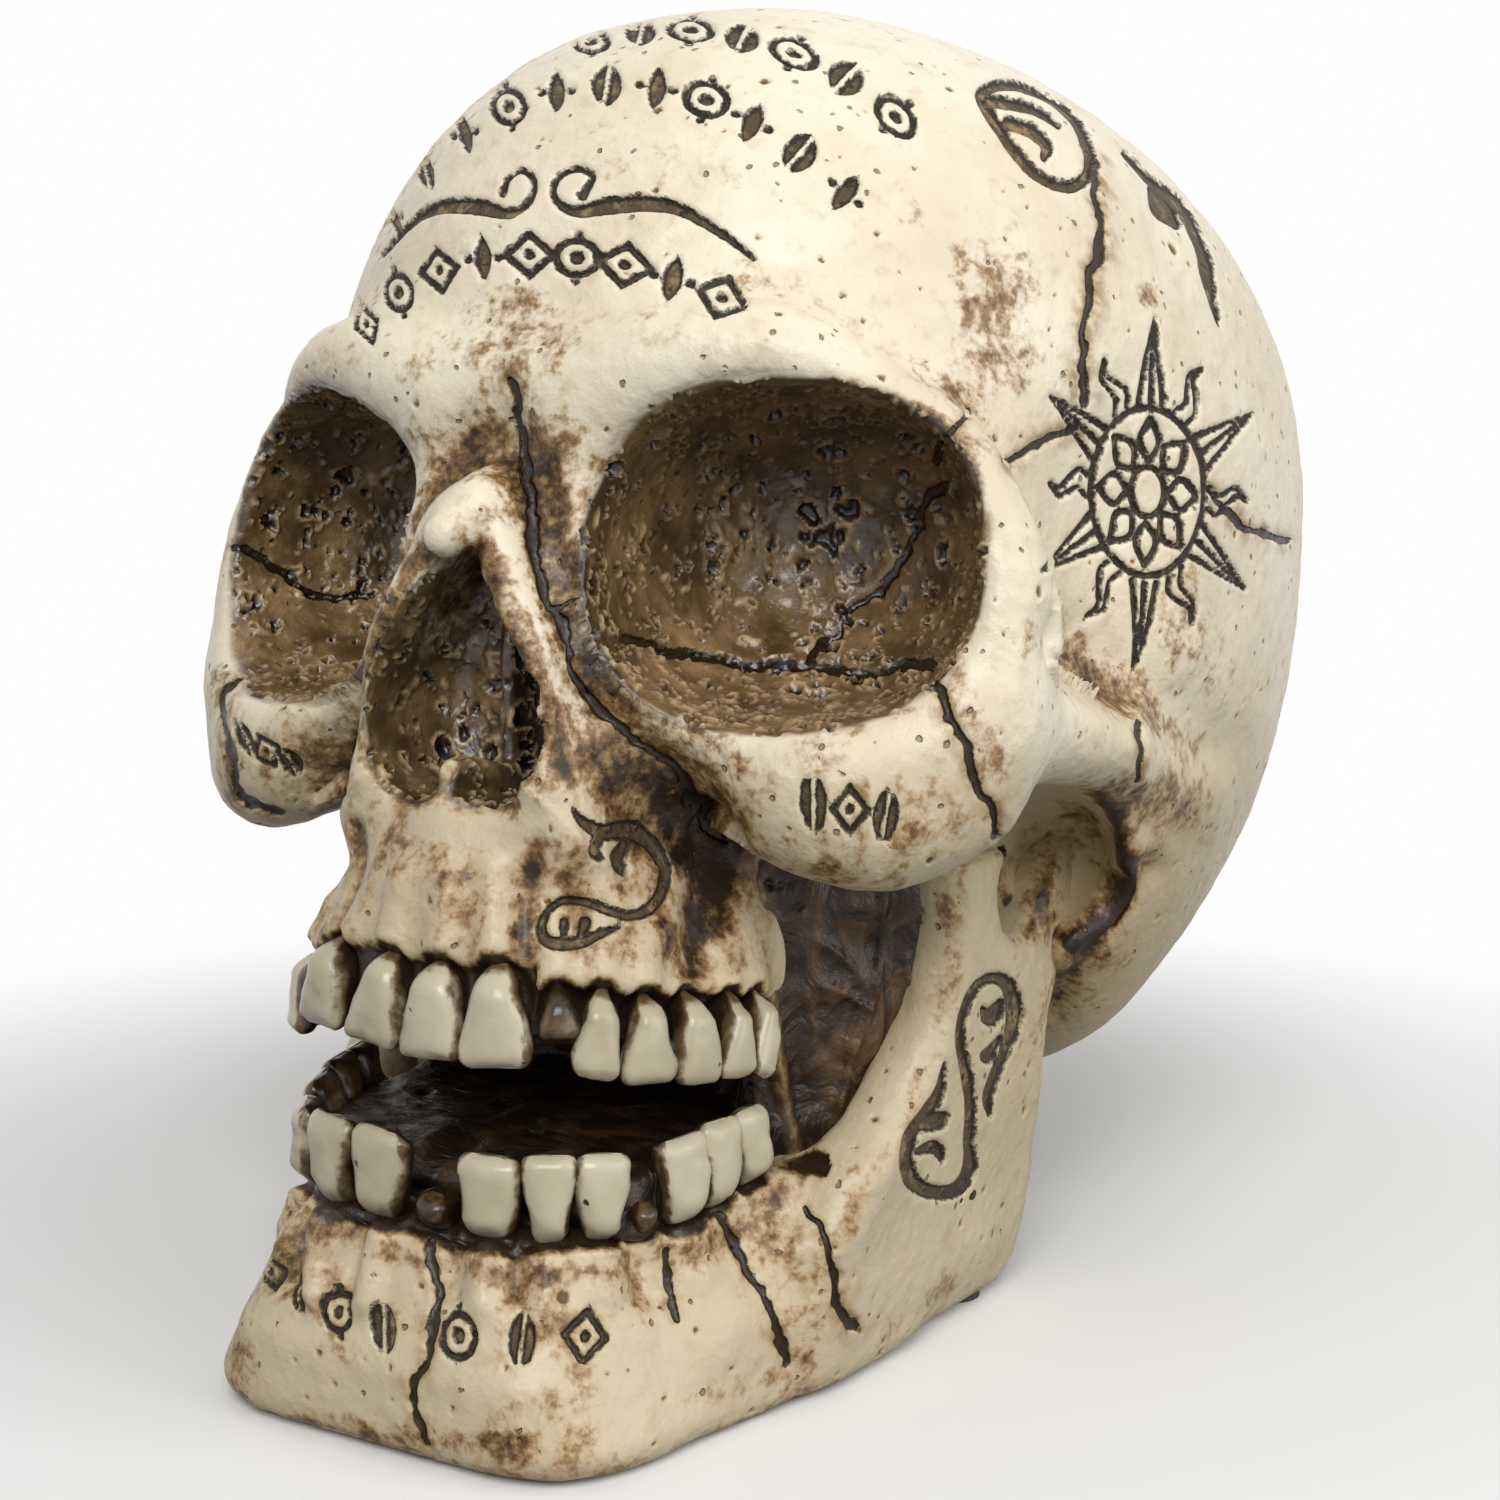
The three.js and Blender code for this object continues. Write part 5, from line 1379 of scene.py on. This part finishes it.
away = node(tree, "ShaderNodeVectorMath", {0: where}, operation="LENGTH").outputs["Value"]
bright = node(tree, "ShaderNodeEmission", {"Color": (1, 1, 1, 1), "Strength": seenRays(tree)}).outputs[0]
share = ranged(tree, away, *stage["clear"])
blend = node(tree, "ShaderNodeMixShader", {0: share, 1: surface.outputs[0], 2: bright})
tree.links.new(blend.outputs[0], tree.nodes["Material Output"].inputs[0])
floor.data.materials.append(paper)
bpy.context.scene.collection.objects.link(floor)

lamps = {
    "key": {"place": (0.34, -0.68, 0.64), "size": 0.5, "power": 6.6},
    "fill": {"place": (0.95, -0.02, 0.42), "size": 0.8, "power": 4.7},
    "top": {"place": (-0.1, 0.2, 1.0), "size": 0.9, "power": 0.4},
}
for name, lamp in lamps.items():
    data = bpy.data.lights.new(name, "AREA")
    data.size, data.energy = lamp["size"], lamp["power"]
    light = bpy.data.objects.new(name, data)
    light.location = lamp["place"]
    light.rotation_euler = (Vector(stage["aim"]) - light.location).to_track_quat("-Z", "Y").to_euler()
    bpy.context.scene.collection.objects.link(light)

world = bpy.data.worlds.new("studio")
world.use_nodes = True
bpy.context.scene.world = world
tree = world.node_tree
tree.nodes.clear()
soft = node(tree, "ShaderNodeBackground", {"Color": stage["warm"], "Strength": stage["soft"]})
white = node(tree, "ShaderNodeBackground", {"Color": (1, 1, 1, 1), "Strength": 1.0})
shown = node(tree, "ShaderNodeMixShader", {0: seenRays(tree), 1: soft.outputs[0], 2: white.outputs[0]})
tree.links.new(shown.outputs[0], node(tree, "ShaderNodeOutputWorld").inputs[0])

right, up, forward = cameraAxes()
camera = bpy.data.objects.new("camera", bpy.data.cameras.new("camera"))
camera.data.sensor_width = photo["sensor"]
camera.data.lens = photo["sensor"] * photo["focal"] / photo["pixels"]
camera.data.clip_start = 0.01
turn = Matrix((right, up, -forward)).transposed().to_4x4()
camera.matrix_world = Matrix.Translation(inRow(photo["place"])) @ turn
bpy.context.scene.collection.objects.link(camera)
bpy.context.scene.camera = camera
bpy.context.scene.view_settings.view_transform = "Standard"

print("scene done")
